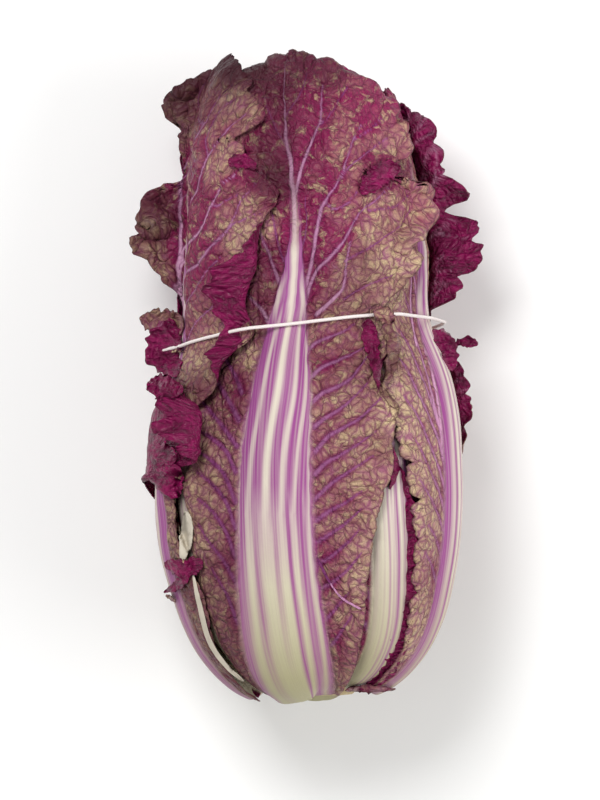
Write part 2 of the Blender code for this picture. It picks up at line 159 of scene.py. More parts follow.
# Each leaf, from the innermost outwards. A station is: way, angle of the rib, reach to the
# left, reach to the right, half width of the rib. A curl row is: way, turn in degrees, width.
LEAVES = (
    dict(
        name="leaf_inner_back",
        stations=(
            (0, 170, 14, 14, 12), (41, 170, 22, 22, 15), (100, 172, 34, 34, 15), (150, 173, 46, 46, 12),
            (200, 172, 52, 52, 8), (245, 170, 52, 52, 5), (285, 168, 46, 46, 3), (326, 165, 34, 34, 1.5),
        ),
        drop=34, rib=5.0, ruffle=0.0, phase=1.4, grid=(70, 110),
    ),
    dict(
        name="leaf_inner_right",
        stations=(
            (0, 45, 14, 14, 12), (41, 40, 22, 24, 14.5), (70, 36, 26, 30, 14.5), (100, 33, 32, 36, 14),
            (150, 32, 46, 45, 11.5), (200, 32, 54, 54, 8), (245, 32, 54, 53, 5), (285, 33, 48, 48, 3),
            (330, 34, 34, 34, 1.5),
        ),
        drop=34, rib=7.0, ruffle=0.0, phase=0.4, grid=(84, 160),
    ),
    dict(
        name="leaf_inner_left",
        stations=(
            (0, -52, 14, 14, 12), (41, -51, 20, 20, 14), (70, -54, 22, 22, 14), (100, -62, 26, 26, 13),
            (150, -64, 42, 38, 10), (200, -64, 50, 46, 7), (245, -63, 50, 46, 4), (280, -62, 44, 42, 2.5),
            (320, -62, 34, 34, 1.5),
        ),
        drop=32, rib=7.0, ruffle=0.0, phase=2.1, grid=(72, 150),
    ),
    dict(
        name="leaf_right",
        stations=(
            (0, 76, 18, 18, 15), (35, 76, 31, 26, 19), (58, 76, 41, 29, 20), (85, 76, 47, 33, 19.5),
            (110, 75.5, 52, 36, 18.5), (128, 75, 57, 38, 17.5), (155, 74, 63, 42, 15.5),
            (195, 72, 64, 44, 11), (235, 73, 64, 44, 7), (275, 74, 54, 40, 3.5), (314, 74, 36, 32, 1.8),
        ),
        drop=38, rib=9.0, first=7, ruffle=1.0, phase=3.0, grid=(130, 240),
    ),
    dict(
        name="leaf_front",
        stations=(
            (0, -11.5, 26, 24, 23), (26, -13.5, 35, 37, 25.5), (53, -14.8, 44, 45, 24.5),
            (85, -15.7, 50, 51, 23), (112, -16, 54, 58, 22), (135, -15.7, 54, 62, 20.5),
            (160, -14, 56, 64, 18), (188, -12, 56, 66, 14), (206, -9.4, 57, 69, 10.5),
            (222, -7, 57, 72, 6.5), (237, -5.6, 56, 80, 4.6), (258, -4.8, 55, 94, 3.6),
            (278, -5.4, 52, 74, 2.8), (300, -6, 48, 70, 2.2), (335, -7, 42, 50, 1.5),
        ),
        curl_right=((0, 110, 0), (138, 110, 0), (160, 115, 14), (182, 115, 14), (206, 60, 12), (245, 14, 24),
                    (270, 25, 22), (310, 0, 0)),
        drop=30, rib=10.0, foot=0.98, ruffle=2.4, phase=1.0, grid=(176, 260),
    ),
    dict(
        name="leaf_left",
        stations=(
            (0, -78, 18, 18, 15), (35, -78, 25, 29, 19), (61, -78, 27, 37, 20), (86, -78, 28, 28, 19),
            (128, -78, 27, 29, 17), (150, -78, 24, 38, 14.5), (166, -78, 22, 56, 13), (186, -78, 20, 82, 11),
            (204, -80, 16, 88, 7.5), (218, -80, 28, 88, 6.5), (236, -80, 42, 84, 5), (250, -80, 36, 76, 4.2),
            (262, -80, 30, 76, 3.8), (274, -79, 18, 62, 3.4), (285, -79, 20, 58, 3), (302, -78, 32, 66, 2.2),
            (330, -68, 28, 58, 1.5),
        ),
        curl_left=((0, 90, 0), (204, 90, 0), (218, 86, 18), (236, 84, 33), (250, 80, 28), (262, 84, 20),
                   (274, 86, 8), (285, 84, 10), (302, 78, 25), (330, 70, 20)),
        curl_right=((0, 120, 0), (158, 120, 0), (186, 145, 24), (208, 150, 26), (226, 145, 22),
                    (244, 110, 8), (260, 100, 0), (330, 100, 0)),
        drop=34, rib=8.5, first=7, ruffle=2.6, phase=0.0, grid=(170, 260),
    ),
    dict(
        name="leaf_back_left",
        stations=(
            (0, -123, 18, 18, 15), (41, -122, 32, 26, 19), (80, -120, 42, 28, 18), (90, -119, 46, 30, 16),
            (104, -119, 48, 58, 15.5), (115, -119, 48, 94, 15), (125, -119, 50, 122, 14),
            (135, -119, 50, 134, 13.5), (149, -119, 50, 130, 12.5), (160, -119, 50, 101, 12),
            (170, -119, 50, 60, 11.5),
            (179, -119, 50, 40, 11), (193, -119, 50, 42, 9), (208, -119, 50, 24, 8),
            (245, -119, 50, 18, 5), (285, -118, 46, 18, 3), (310, -118, 34, 18, 1.6),
        ),
        curl_right=((0, 120, 0), (98, 130, 0), (115, 148, 9), (125, 154, 21), (135, 158, 29), (149, 156, 29),
                    (160, 126, 20), (170, 95, 10), (179, 84, 6), (193, 84, 15), (208, 84, 0), (310, 84, 0)),
        drop=36, rib=8.5, ruffle=2.6, phase=0.2, grid=(156, 250),
    ),
    dict(
        name="leaf_back_right",
        stations=(
            (0, 124, 18, 18, 15), (41, 126, 28, 32, 19), (100, 129, 44, 46, 18), (135, 130, 54, 50, 16),
            (160, 130, 58, 50, 14), (190, 130, 50, 52, 11), (222, 129, 65, 50, 7), (250, 128, 67, 50, 5),
            (272, 127, 58, 48, 3.5), (293, 126, 64, 44, 2.5), (316, 125, 46, 34, 1.6),
        ),
        curl_left=((0, 80, 0), (110, 80, 0), (135, 76, 9), (160, 76, 13), (188, 80, 8), (222, 80, 26),
                   (250, 82, 28), (272, 80, 14), (293, 78, 26), (316, 70, 20)),
        drop=30, rib=8.5, ruffle=2.6, phase=2.4, grid=(156, 250),
    ),
    dict(
        name="leaf_back",
        stations=(
            (0, 180, 21, 21, 18), (47, 180, 36, 36, 22), (100, 180, 48, 48, 20), (150, 180, 54, 54, 18),
            (200, 180, 54, 54, 14), (245, 180, 52, 52, 10), (285, 180, 46, 46, 6), (310, 180, 34, 34, 3),
        ),
        drop=36, rib=11.0, ruffle=1.6, phase=1.3, grid=(110, 190),
    ),
)

# Purple stripes along a rib: place across it in half widths, half width, strength, and the
# way below which the stripe fades into the pale foot
STRIPES = {
    "leaf_front": (
        (-0.88, 0.17, 1.0, -60), (-0.46, 0.11, 0.75, 30), (0.04, 0.08, 0.7, 60), (0.38, 0.07, 1.0, -20),
        (0.68, 0.12, 1.0, -50), (0.95, 0.1, 1.0, -60),
    ),
    "leaf_left": (
        (-0.98, 0.10, 0.5, 0), (-0.62, 0.16, 0.6, 10), (-0.2, 0.2, 0.9, 10), (0.25, 0.12, 0.6, 10),
        (0.75, 0.3, 1.0, -20),
    ),
    "leaf_right": (
        (-0.86, 0.24, 1.0, 0), (-0.48, 0.09, 0.9, 10), (-0.2, 0.07, 0.8, 20), (0.05, 0.06, 0.6, 40),
        (0.3, 0.05, 0.6, 40), (0.55, 0.05, 0.5, 50), (0.8, 0.06, 0.5, 50),
    ),
    "leaf_inner_right": (
        (-0.78, 0.1, 0.2, 20), (-0.5, 0.03, 0.4, 20), (-0.31, 0.05, 0.9, -20), (-0.13, 0.04, 0.7, -20),
        (0.06, 0.08, 1.0, -40), (0.38, 0.08, 0.7, -10), (0.78, 0.3, 1.0, -30),
    ),
}
# Ways where the mauve starts, where the purple flanks start to close in on the pale core, and
# where the strands beside the core end; and the core's half width
MAUVE_FROM = 65
FLANKS_CLOSE = 193
STRANDS_END = 222
CORE_HALF = 2.2
# How mauve a rib is above its foot, and the pale lines in that mauve: place across it at
# ways of 100 and 190 mm, half width and strength
MAUVE = {"leaf_front": 0.95, "leaf_left": 0.4, "leaf_right": 0.15}
PALE_LINES = {
    "leaf_front": (
        (-0.97, -0.92, 0.03, 0.4), (-0.7, -0.43, 0.08, 0.6), (-0.2, 0.06, 0.12, 0.95),
        (0.21, 0.56, 0.075, 0.75), (0.5, 0.88, 0.05, 0.65), (0.85, 1.05, 0.03, 0.6),
    ),
    "leaf_right": ((0.2, 0.2, 0.08, 0.9), (0.6, 0.6, 0.1, 0.9), (-0.35, -0.35, 0.07, 0.8)),
    "leaf_left": ((-0.8, -0.8, 0.08, 0.8), (0.02, 0.02, 0.07, 0.8), (0.45, 0.45, 0.08, 0.7)),
}
PLAIN_STRIPES = (
    (-0.92, 0.16, 0.95, 25), (-0.6, 0.08, 0.7, 50), (-0.3, 0.06, 0.5, 80), (-0.02, 0.08, 0.6, 90),
    (0.28, 0.06, 0.55, 70), (0.58, 0.09, 0.75, 50), (0.92, 0.16, 0.95, 25),
)

# Clefts in the margins: side, way, depth and half width
CLEFTS = {
    "leaf_front": (
        (1, 271, 26, 5.5), (1, 296, 5, 2.5), (1, 232, 7, 3), (1, 320, 6, 4), (-1, 262, 5, 3),
        (1, 249, 7, 17), (1, 214, 6, 15),
    ),
    "leaf_left": (
        (1, 286, 12, 3.5), (1, 309, 5, 2.5), (-1, 292, 7, 2.2), (-1, 268, 9, 5), (-1, 240, 5, 2.5),
    ),
    "leaf_back_right": (
        (-1, 284, 6, 3), (-1, 268, 5, 2), (-1, 251, 16, 3.5), (-1, 236, 5, 2.5), (-1, 216, 7, 2.5),
        (-1, 202, 6, 2), (-1, 190, 12, 2.6), (-1, 182, 8, 2), (-1, 158, 5, 2), (-1, 142, 5, 2),
        (-1, 114, 15, 19),
    ),
    "leaf_back_left": (
        (1, 109, 62, 12), (1, 167, 28, 6), (1, 122, 4, 2), (1, 133, 9, 2.4), (1, 146, 5, 2),
        (1, 156, 7, 2.2), (1, 186, 8, 2.4), (1, 200, 6, 2.5),
    ),
    "leaf_right": (
        (-1, 125, 8, 1.8), (-1, 107, 5, 1.8), (-1, 88, 4, 2), (-1, 62, 6, 2), (-1, 212, 6, 3),
    ),
}
# How deep the small clefts of a margin are, and the length of its lobes and of its teeth
EDGES = {
    "leaf_right": (1.25, 11, 4.2), "leaf_front": (0.8, 15, 5), "leaf_back_right": (1.1, 15, 7),
    "leaf_back_left": (1.1, 13, 6.5),
}
# Blades that are flushed and dark on one side of the rib: flush and darkness, which is painted
# shade where these blades lie deep under the leaves over them. The inner flush gives the magenta
# inner skin on both faces.
INNER_FLUSH = 2.0
INNER_FROM = 1.5
SIDE_TINTS = {
    ("leaf_inner_right", 1): (INNER_FLUSH, 0), ("leaf_inner_right", -1): (0.8, 0.3),
    ("leaf_inner_left", -1): (0.9, 0.6), ("leaf_back_left", 1): (INNER_FLUSH, 0),
}
# Where a leaf is pressed down on those below it: side, way, half length along the way and depth
PRESSED = {"leaf_back_left": (1, 136, 30, 2.0)}

# Veins by rule: where the side veins start, how far below the tip they stop, and the least
# and most between two of them
VEIN_START = 34
VEIN_STOP = 18
VEIN_STEP = (12, 17)
# How far from a vein it is still felt, and how far from it the skin is fully puffed up
VEIN_REACH = 11
PUFF_WIDTH = 4.0
# Veins told one by one, for the leaves seen in the front view: half width at the start and
# at the end, how pale, and the x and height of each place that the vein passes through
VEINS = {
    "leaf_front": (
        (2, .3, .95, -7.5, 192.5, -6, 208.5, -6, 229, -6.5, 254, -8, 269, -9.5, 279.5, -10.5, 294.5, -11,
         309.5, -10, 323.5),
        (1.3, .35, .6, -14.5, 188.5, -13.5, 201, -13.5, 208.5, -15, 216, -17.5, 223.5, -20.5, 231.5, -23,
         236.5, -25, 240),
        (1.19, .45, .8, -19, 191, -22, 197.5, -26, 202.5, -30, 206.5),
        (1.25, .35, .6, -2.5, 192.5, -1, 203.5, 1.5, 213.5, 3.5, 223.5, 5, 234, 7, 244, 10, 251.5, 14.5,
         259, 17.5, 265, 20.5, 274, 23, 282, 27.5, 290.5),
        (1.1, .35, .55, 0, 202.5, 3, 212, 6, 217.5, 11, 223.5, 16, 229, 20, 233.5, 23, 240, 27.5, 247, 33.5,
         252.5, 40.5, 259),
        (1.26, .45, .8, 6, 196, 11, 200.5, 15, 204.5, 18, 208.5, 19.5, 214.5, 20, 222.5, 22, 231.5),
        (1.05, .45, .7, -6, 254, -4, 261.5, -1.5, 271.5, 2.5, 279.5, 6, 289.5, 7.5, 299.5, 8, 310.5),
        (.56, .3, .15, 19.5, 222.5, 27.5, 226.5, 33.5, 230.5, 40, 235, 46, 240, 53.5, 247),
        (.49, .3, .2, 17.5, 265, 23, 270, 28.5, 275, 34.5, 279.5, 40.5, 283),
        (.49, .3, .1, 6, 289.5, 11, 295.5, 16, 302.5, 21, 309.5),
        (.49, .3, .1, -9.5, 279.5, -14, 287, -18, 295.5, -21, 304.5),
        (.49, .3, .1, -10.5, 294.5, -6, 301.5, -2, 308.5, 1, 316.5),
        (.42, .3, .1, 23, 282, 30.5, 287.5, 37.5, 293.5),
        (.42, .3, .1, 27.5, 247, 36.5, 248, 45.5, 251, 53.5, 256),
        (.63, .38, .2, 19, 203.5, 25, 207.5, 33.5, 211.5, 42.5, 215.5),
        (.56, .3, .3, 10, 251.5, 15, 248, 20, 251, 25, 256),
        (.56, .34, .1, -11.5, 222.5, -15, 234, -17, 245, -19, 256, -20, 266.5),
        (.49, .34, .1, -3.5, 222.5, 0, 234, 1, 244, 0, 254),
        (1.1, .4, .32, 1, 177.5, 6, 181, 12, 183.5, 19.5, 187, 24, 190.5),
        (1.2, .4, .32, 2.5, 163.5, 8, 169, 16, 172.5, 23, 175, 28.5, 179),
        (1.3, .4, .27, 3, 151.5, 8, 156, 14.5, 159, 21.5, 162.5, 26.5, 169, 30.5, 174),
        (1.3, .4, .23, 4, 139.5, 9.5, 144, 17, 148.5, 23, 153.5, 30.5, 161),
        (1.3, .4, .2, 4.5, 127.5, 11, 134.5, 18, 139, 26.5, 144, 33.5, 150, 37.5, 155),
        (1.3, .4, .2, 4.5, 116, 9.5, 121.5, 17, 126, 25, 131, 34.5, 137),
        (1.2, .4, .18, 4.5, 104, 11, 110, 18, 114.5, 25, 119.5, 33.5, 124.5),
        (1.2, .4, .16, 5.5, 93.5, 12, 98, 19.5, 101.5, 27.5, 107.5),
        (1.1, .4, .14, 6, 83.5, 12, 87, 20, 92.5, 27.5, 98.5),
        (1, .4, .14, 7, 72, 13, 76.5, 20, 82, 26.5, 88.5),
        (.96, .4, .14, 8, 59.5, 14, 63, 21, 69, 27.5, 76.5),
        (.89, .4, .14, 10.5, 44.5, 15, 50, 21, 57),
        (.89, .4, .14, 13, 31, 17, 37, 23, 46),
        (1.4, .51, .09, -32, 157, -35.5, 165, -39.5, 172, -42.5, 178.5),
        (1.4, .51, .09, -33.5, 143, -39.5, 154, -46.5, 164, -51, 170),
        (1.4, .51, .09, -34.5, 130.5, -40.5, 139, -48.5, 148, -53.5, 154),
        (1.4, .51, .09, -35, 117.5, -39.5, 127, -46.5, 133, -52.5, 137),
        (1.3, .51, .07, -35.5, 102.5, -40.5, 115.5, -48.5, 123.5, -55.5, 129),
        (1.2, .51, .07, -35.5, 88.5, -40, 102.5, -47.5, 111.5, -54.5, 117.5),
        (1.1, .51, .07, -35.5, 74.5, -40.5, 88.5, -47.5, 98.5, -54.5, 103.5),
        (1, .51, .07, -35, 59.5, -40.5, 72, -48.5, 82.5, -53.5, 90.5),
        (.94, .51, .07, -34.5, 42, -39.5, 56, -46.5, 68),
    ),
    "leaf_left": (
        (1.3, .48, .9, -67.5, 178.5, -68, 193.5, -69, 203.5, -70.5, 213.5, -72, 223.5, -72, 234, -71.5, 244,
         -69.5, 252, -67, 257.5, -64.5, 262, -61.5, 271.5, -58.5, 279.5, -55, 285, -51.5, 291.5, -48,
         298.5),
        (1.2, .42, .85, -65.5, 178.5, -65.5, 193.5, -65.5, 203.5, -64.5, 213.5, -63.5, 221.5, -62.5, 230,
         -61, 238, -59.5, 246, -57.5, 252.5, -55, 258, -51.5, 269, -49, 275, -45.5, 280.5, -41.5, 285.5,
         -36.5, 291, -30.5, 296),
        (1, .36, .85, -62.5, 222.5, -60, 229, -57, 233.5, -53.5, 238.5, -50, 244.5, -47.5, 249, -45.5,
         253.5, -43.5, 258, -40.5, 262, -37, 265, -33, 269),
        (.92, .32, .54, -64.5, 211.5, -57.5, 218.5, -52.5, 223.5, -47.5, 229.5, -42, 235.5, -38.5, 241,
         -35.5, 247, -33, 252, -29.5, 256.5, -24, 261),
        (.69, .27, .45, -63.5, 188.5, -60.5, 198, -57.5, 205.5, -53.5, 213, -48, 219.5, -42.5, 224.5),
        (.69, .27, .45, -61.5, 178.5, -58.5, 185.5, -54, 192.5, -48, 199, -42, 204.5),
        (.52, .24, .45, -72, 234, -69.5, 241, -65.5, 248, -63.5, 256),
        (.58, .34, .36, -69.5, 252, -63.5, 255, -58.5, 261, -55.5, 268),
        (.58, .34, .27, -64.5, 262, -59.5, 268, -55.5, 274),
        (.58, .34, .27, -51.5, 291.5, -53.5, 299.5, -55.5, 308.5, -54.5, 316.5),
        (.58, .34, .18, -48, 298.5, -43.5, 305.5, -37.5, 311.5),
        (.58, .34, .27, -49, 275, -50, 283.5, -47.5, 291.5, -42.5, 298.5, -35.5, 303.5),
        (.5, .3, .27, -47.5, 249, -42.5, 251, -38.5, 254, -34.5, 256),
        (.5, .3, .27, -42, 235.5, -36.5, 240, -30.5, 243, -23, 246),
        (.58, .3, .18, -72, 241.5, -78, 247, -82, 251),
        (.58, .3, .18, -72, 228, -78, 234, -84, 238, -88, 242),
        (.58, .3, .18, -71, 214.5, -78, 219.5, -84, 224.5, -89, 228),
        (.58, .3, .18, -69.5, 204.5, -76, 209.5, -83, 213.5, -88, 215.5),
    ),
    "leaf_right": (
        (1.3, 1, .9, 60, 176, 58.5, 190, 57.5, 204, 57, 218, 56.5, 234),
        (1.1, .9, .8, 55, 180, 53.5, 192, 52.5, 205, 52.5, 218, 53, 232),
        (1.89, .9, .99, 73.5, 102.5, 70.5, 122.5, 67.5, 143, 64, 163, 62, 183.5, 61, 203.5, 60.5, 223.5,
         59.5, 236),
        (1.58, .7, .88, 72, 112.5, 69, 133, 65.5, 153, 62.5, 168, 59.5, 183.5, 57, 198.5, 54.5, 211, 52,
         222.5),
        (1.47, .6, .66, 70.5, 117.5, 67, 137, 63, 154, 59.5, 168, 55.5, 181, 52.5, 193.5, 49.5, 205.5),
        (1.47, .6, .55, 70.5, 121.5, 66.5, 139, 61.5, 154, 56, 168, 51.5, 179.5, 46.5, 187.5),
        (1.37, .6, .5, 70.5, 112.5, 66.5, 130.5, 61.5, 144, 55.5, 157, 50.5, 167, 45.5, 174),
        (1.26, .5, .44, 71, 102.5, 66.5, 117.5, 60.5, 133, 54.5, 146, 48.5, 155),
        (1.16, .5, .44, 71, 92.5, 66.5, 106.5, 60.5, 120.5, 54.5, 133),
        (1.05, .5, .39, 70.5, 80, 66.5, 93.5, 60.5, 105.5, 55.5, 113.5),
        (1.05, .5, .39, 69.5, 67, 65.5, 80, 60.5, 90.5),
        (1.05, .5, .33, 67.5, 56, 63.5, 67, 59.5, 76.5),
        (1.37, .7, .99, 76, 133, 72, 153, 68, 170.5, 65, 183.5, 63.5, 197.5, 63, 213.5, 63, 229),
    ),
}

# How the outer faces are tinted, by place in the front view: x, height above the stem's end,
# flush from tan to magenta, and how dark. The darkness is partly dried brown and partly painted
# shade, over the top where the leaves curve away and in the folds.
TINTS = (
    (-8, 325, .85, .7), (-33, 320, .8, .95), (12, 317, .6, .6), (-13, 299, .95, .62), (2, 299, .65, .25),
    (22, 304, .55, .1), (37, 294, .7, 0), (40, 282, .3, 0), (-18, 279, .95, .6), (2, 269, .85, .25),
    (22, 269, .4, .1), (37, 267, .95, .35), (-3, 244, .9, .2), (-16, 254, .95, .65), (20, 249, .4, .1),
    (42, 249, .25, .05), (55, 256, .4, 0), (12, 234, .6, .15), (42, 229, .12, .05), (27, 219, .2, .3),
    (-21, 219, .6, .5), (2, 219, .7, .3), (22, 203, .35, .35), (42, 203, .2, .15), (-21, 203, .5, .5),
    (15, 178, .5, .25), (27, 163, .3, .2), (12, 138, .3, .15), (32, 133, .3, .2), (17, 112, .35, .2),
    (32, 112, .35, .1), (17, 92, .35, .2), (12, 72, .6, .3), (25, 72, .2, .1), (22, 42, .4, .25),
    (22, 17, .4, .25), (12, 27, .7, .35), (52, 183, .2, .1), (57, 163, .15, .05), (47, 143, .05, 0),
    (57, 133, .1, 0), (60, 102, .1, .05), (57, 72, .2, .1), (63, 62, .6, .2), (56, 52, .2, .1),
    (-41, 153, .55, .4), (-48, 143, .25, .25), (-46, 128, .2, .15), (-48, 112, .2, .2),
    (-41, 102, .35, .25), (-51, 102, .15, .2), (-48, 82, .2, .25), (-41, 72, .5, .45), (-46, 52, .45, .45),
    (-41, 27, .5, .5), (-58, 52, .5, .45), (-48, 173, .2, .15), (-53, 317, .5, .85), (-46, 312, .3, .55),
    (-33, 307, .1, .35), (-38, 299, .15, .25), (-53, 299, .45, .45), (-61, 304, .4, .75),
    (-28, 297, .2, .2), (-53, 279, .6, .2), (-41, 284, .35, .1), (-61, 264, .8, .25), (-46, 272, .2, 0),
    (-41, 274, .1, 0), (-33, 269, .8, .1), (-53, 254, .6, .15), (-41, 254, .35, .05), (-28, 254, .2, 0),
    (-21, 246, .1, 0), (-36, 234, .1, 0), (-46, 234, .55, .1), (-58, 234, .85, .15), (-48, 219, .7, .15),
    (-53, 203, .7, .2), (-46, 193, .4, .15), (-58, 188, .6, .15), (-81, 241, .35, .55), (-84, 219, .25, .3),
    (-79, 208, .3, .3), (-74, 249, .5, .6), (-38, 316, .5, .95), (-28, 310, .7, .85), (-64, 310, .3, .8),
    (-66, 290, .2, .6), (-52, 305, .3, .45), (-20, 268, 1, .8), (-18, 258, 1, .8), (-13, 305, 1, .75),
    (-48, 102, .25, .3), (-46, 60, .35, .4), (-48, 160, .5, .5), (-56, 100, .3, .3), (-52, 72, .35, .4),
)
TINT_SPREAD = 5.5
# Painted shade makes the head darker left of this x, and it is redder above this height
DARK_LEFT_OF = -18
REDDER_ABOVE = 190

# Torn bits, small lobes and turned-up margins, and a few strips and sheets that paint shade: the
# leaf that each belongs to, which face is seen (0 outer, 1 inner), lift, flush, darkness (partly
# painted shade), how pale its vein is (-1 for none, 2 for a sliver of pale rib), and its line in
# the front view: x, height above the stem's end and half width at each place
BITS = (
    ("leaf_left", 1, 2.2, 0, 0, -1, -71, 71, 2, -66, 70, 3.6, -61, 68.5, 4.6, -56, 70.5, 4, -51.5, 71.5,
     2.5),
    ("leaf_left", 1, 2.4, 0, 0, -1, -59.5, 65.5, 2.6, -65, 60, 2.3, -71, 56.5, .7),
    ("leaf_left", 0, 2.0, .1, 0, -1, -70.5, 55, .7, -68, 53.5, .9, -65.5, 52, .7),
    ("leaf_inner_right", 0, 1.0, .8, .2, -1, 20, 7.5, 1, 32, 8.2, 1.8, 45, 7.5, .7),
    ("leaf_back_right", 1, .5, 0, 0, -1, 68.5, 175.5, .8, 73, 177.5, .5, 76.5, 181.5, 1.3, 82, 182.5, 2.7,
     87, 181, 1.6),
    ("leaf_front", 0, 3.6, .45, .15, -1, 34, 198, 2.6, 39, 195.5, 4.2, 43.5, 192, 2.6),
    ("leaf_right", 1, 1.4, 0, 0, -1, 30.5, 193, 3.2, 32, 184, 4, 33.5, 175, 3, 35, 166, 1.9, 36, 158, .5),
    ("leaf_right", 0, 2.0, .35, .45, -1, 39, 191, 2.4, 43.5, 181, 3.6, 42, 168, 2.6, 38, 157, .8),
    ("leaf_front", 0, .7, .2, 0, .5, 11, 63.5, .3, 15.5, 57, .4, 20, 53, .5, 27.5, 49, .6),
    # Painted shadow: a dark, flushed strip along the fold, beside its pale lip
    ("leaf_front", 0, 1.4, .9, .4, 0, 5.5, 75, .4, 8.5, 68.5, .6, 12, 62, .5),
    ("leaf_left", 1, 1.6, 0, 0, -1, -39, 271.5, 2.4, -32, 272.5, 3.6, -25, 269.5, 2),
    # Painted shade: a sheet of magenta inner skin over a shaded hollow by the front leaf's right cleft
    ("leaf_front", 1, 1.2, 0, 0, -1, 27.5, 256, 2, 33, 262, 5, 40, 267.5, 5.4, 47.5, 270, 2.4),
    # Painted shade: a sheet of magenta inner skin laid low in the gap right of the inner right rib, standing
    # for the deep shade there
    ("leaf_inner_right", 1, -2.2, 0, 0, -1, 42, 131, 1.5, 46, 112.5, 4, 49.5, 97.5, 5, 51, 77.5, 5, 50, 52,
     4.8, 46, 29.5, 4.2, 39, 14.5, 3.2, 27, 7.5, 1.2),
    ("leaf_back_left", 0, -3.0, .4, .35, -1, -62, 190, 5, -70, 191, 7.5, -78, 193, 6, -84.5, 194.5, 1.2),
    ("leaf_back_left", 1, -3.5, 0, 0, -1, -64, 189, 5, -70, 183.5, 9, -72, 176.5, 9, -68, 170, 6, -65, 165,
     2),
    ("leaf_back_left", 1, 1.5, 0, 0, -1, -62, 157, 3, -68.5, 159.5, 5, -74.5, 160, 5.5, -79.5, 159, 2),
    ("leaf_back_left", 1, 1.5, 0, 0, -1, -65, 123, 3, -71.5, 126, 5.5, -78, 128, 2.5),
    ("leaf_back_left", 1, 1.8, 0, 0, -1, -66, 121, 6, -69, 114.5, 8, -66.5, 108.5, 5.5, -64, 104.5, 1.5),
    ("leaf_inner_left", 0, .3, 0, .16, 2, -60, 97, 1.6, -59.5, 90, 2.8, -60.5, 80, 2.8, -62, 72.5, 1.2),
    ("leaf_inner_left", 0, .3, 0, .22, 2, -56.5, 67, .6, -54, 54, 1.1, -48.5, 33, 1.3, -40, 20, 1.1, -31.5,
     12, .6),
    ("leaf_back_right", 1, -3.0, 0, 0, -1, 63, 187, 3, 69, 183, 5, 72, 176, 4.6, 74, 168, 2),
)


def linear(hex_colour):
    """Linear red, green, blue and alpha of an sRGB hex colour."""
    parts = [int(hex_colour[i : i + 2], 16) / 255 for i in (1, 3, 5)]
    return tuple(c / 12.92 if c <= 0.04045 else ((c + 0.055) / 1.055) ** 2.4 for c in parts) + (1.0,)


COLOURS = {
    name: linear(hex_colour)
    for name, hex_colour in {
        "areole_gold": "#CFB88E", "areole_rose": "#A2667A", "areole_olive": "#938462", "flushed": "#89164F",
        "net": "#43132F", "vein_pale": "#E6B0D0", "vein_dark": "#823072", "vein_shade": "#6C1250",
        # The dried colour is also the painted shade of the tints' darkness
        "rib_cream": "#D6CEBB", "rib_foot": "#B2AC87", "rib_purple": "#924484", "dried": "#3A111D",
        "inner_bright": "#85104F", "inner_shaded": "#4C062A", "cord": "#F4EAE6", "cord_shade": "#B79CA6",
        "cut_face": "#D9CDA6", "cut_brown": "#A98D5C", "heart_pale": "#D9CBA6", "floor": "#F6F6F5",
    }.items()
}


def through(rows, at):
    """A smooth curve through rows that begin with a position, read at some positions."""
    rows = np.asarray(rows, float)
    start, value = rows[:, 0], rows[:, 1:]
    slope = np.gradient(value, start, axis=0)
    at = np.clip(at, start[0], start[-1])
    i = np.clip(np.searchsorted(start, at) - 1, 0, len(start) - 2)
    step = (start[i + 1] - start[i])[..., None]
    f = (at - start[i])[..., None] / step
    return (
        value[i] * (1 + 2 * f) * (1 - f) ** 2
        + value[i + 1] * f**2 * (3 - 2 * f)
        + step * (slope[i] * f * (1 - f) ** 2 - slope[i + 1] * f**2 * (1 - f))
    )


def outline():
    """Way, radius, height and outward direction along the outline."""
    corners = np.asarray(OUTLINE, float)
    rows = np.column_stack([np.arange(len(corners)), corners])
    fine = through(rows, np.linspace(0, len(corners) - 1, 600))
    step = np.diff(fine, axis=0)
    way = np.concatenate([[0], np.cumsum(np.hypot(step[:, 0], step[:, 1]))])
    along = np.gradient(fine, way, axis=0)
    along /= np.linalg.norm(along, axis=1)[:, None]
    return np.column_stack([way, fine, along[:, 1], -along[:, 0]])


LINE = outline()
FULL_WAY = LINE[-1, 0]


def line_at(way):
    """Radius, height and outward direction of the outline at a way along it."""
    return [np.interp(way, LINE[:, 0], LINE[:, k]) for k in range(1, 5)]


def arc_radius(way):
    """The radius at which a leaf's reach is measured round the head."""
    return np.maximum(line_at(way)[0] + 12, 26)


def band_way(angle):
    return BAND_WAY + BAND_TILT * np.sin(angle) + BAND_RISE * np.cos(angle)


def by_band(angle, way, width):
    """0 far from the band and 1 under it."""
    return np.exp(-(((way - band_way(angle)) / width) ** 2))


def place(angle, way, lift):
    """The point in metres at an angle, a way and a lift."""
    radius, height, outward, upward = line_at(way)
    lift = lift - BAND_PINCH * by_band(angle, way, BAND_PINCH_WIDTH)
    radius = radius + lift * outward
    height = height + lift * upward
    middle = through(MIDDLE_LINE, height)
    x = middle[..., 0] + radius * np.sin(angle)
    z = middle[..., 1] + AXIS_HEIGHT + FLATTENING * radius * np.cos(angle)
    return np.stack([x, height - MIDDLE_Y, z], axis=-1) * MM


def leaf_top(leaf, s):
    """How far along its way a leaf reaches at a column, rounded off to the sides."""
    return leaf["stations"][-1][0] - leaf["drop"] * np.abs(s) ** TOP_ROUNDING


def leaf_widths(leaf, way):
    """Angle of the rib, reach to each side and half width of the rib."""
    row = through(leaf["stations"], way)
    wave = np.sin(2 * math.pi * way / RUFFLE_LENGTH + leaf["phase"])
    swing = LOBE_DEPTH * np.clip((way - WAVY_FROM[0]) / WAVY_FROM[1], 0, 1) * wave
    return np.radians(row[..., 0]), row[..., 1] + swing, row[..., 2] - swing, row[..., 3]


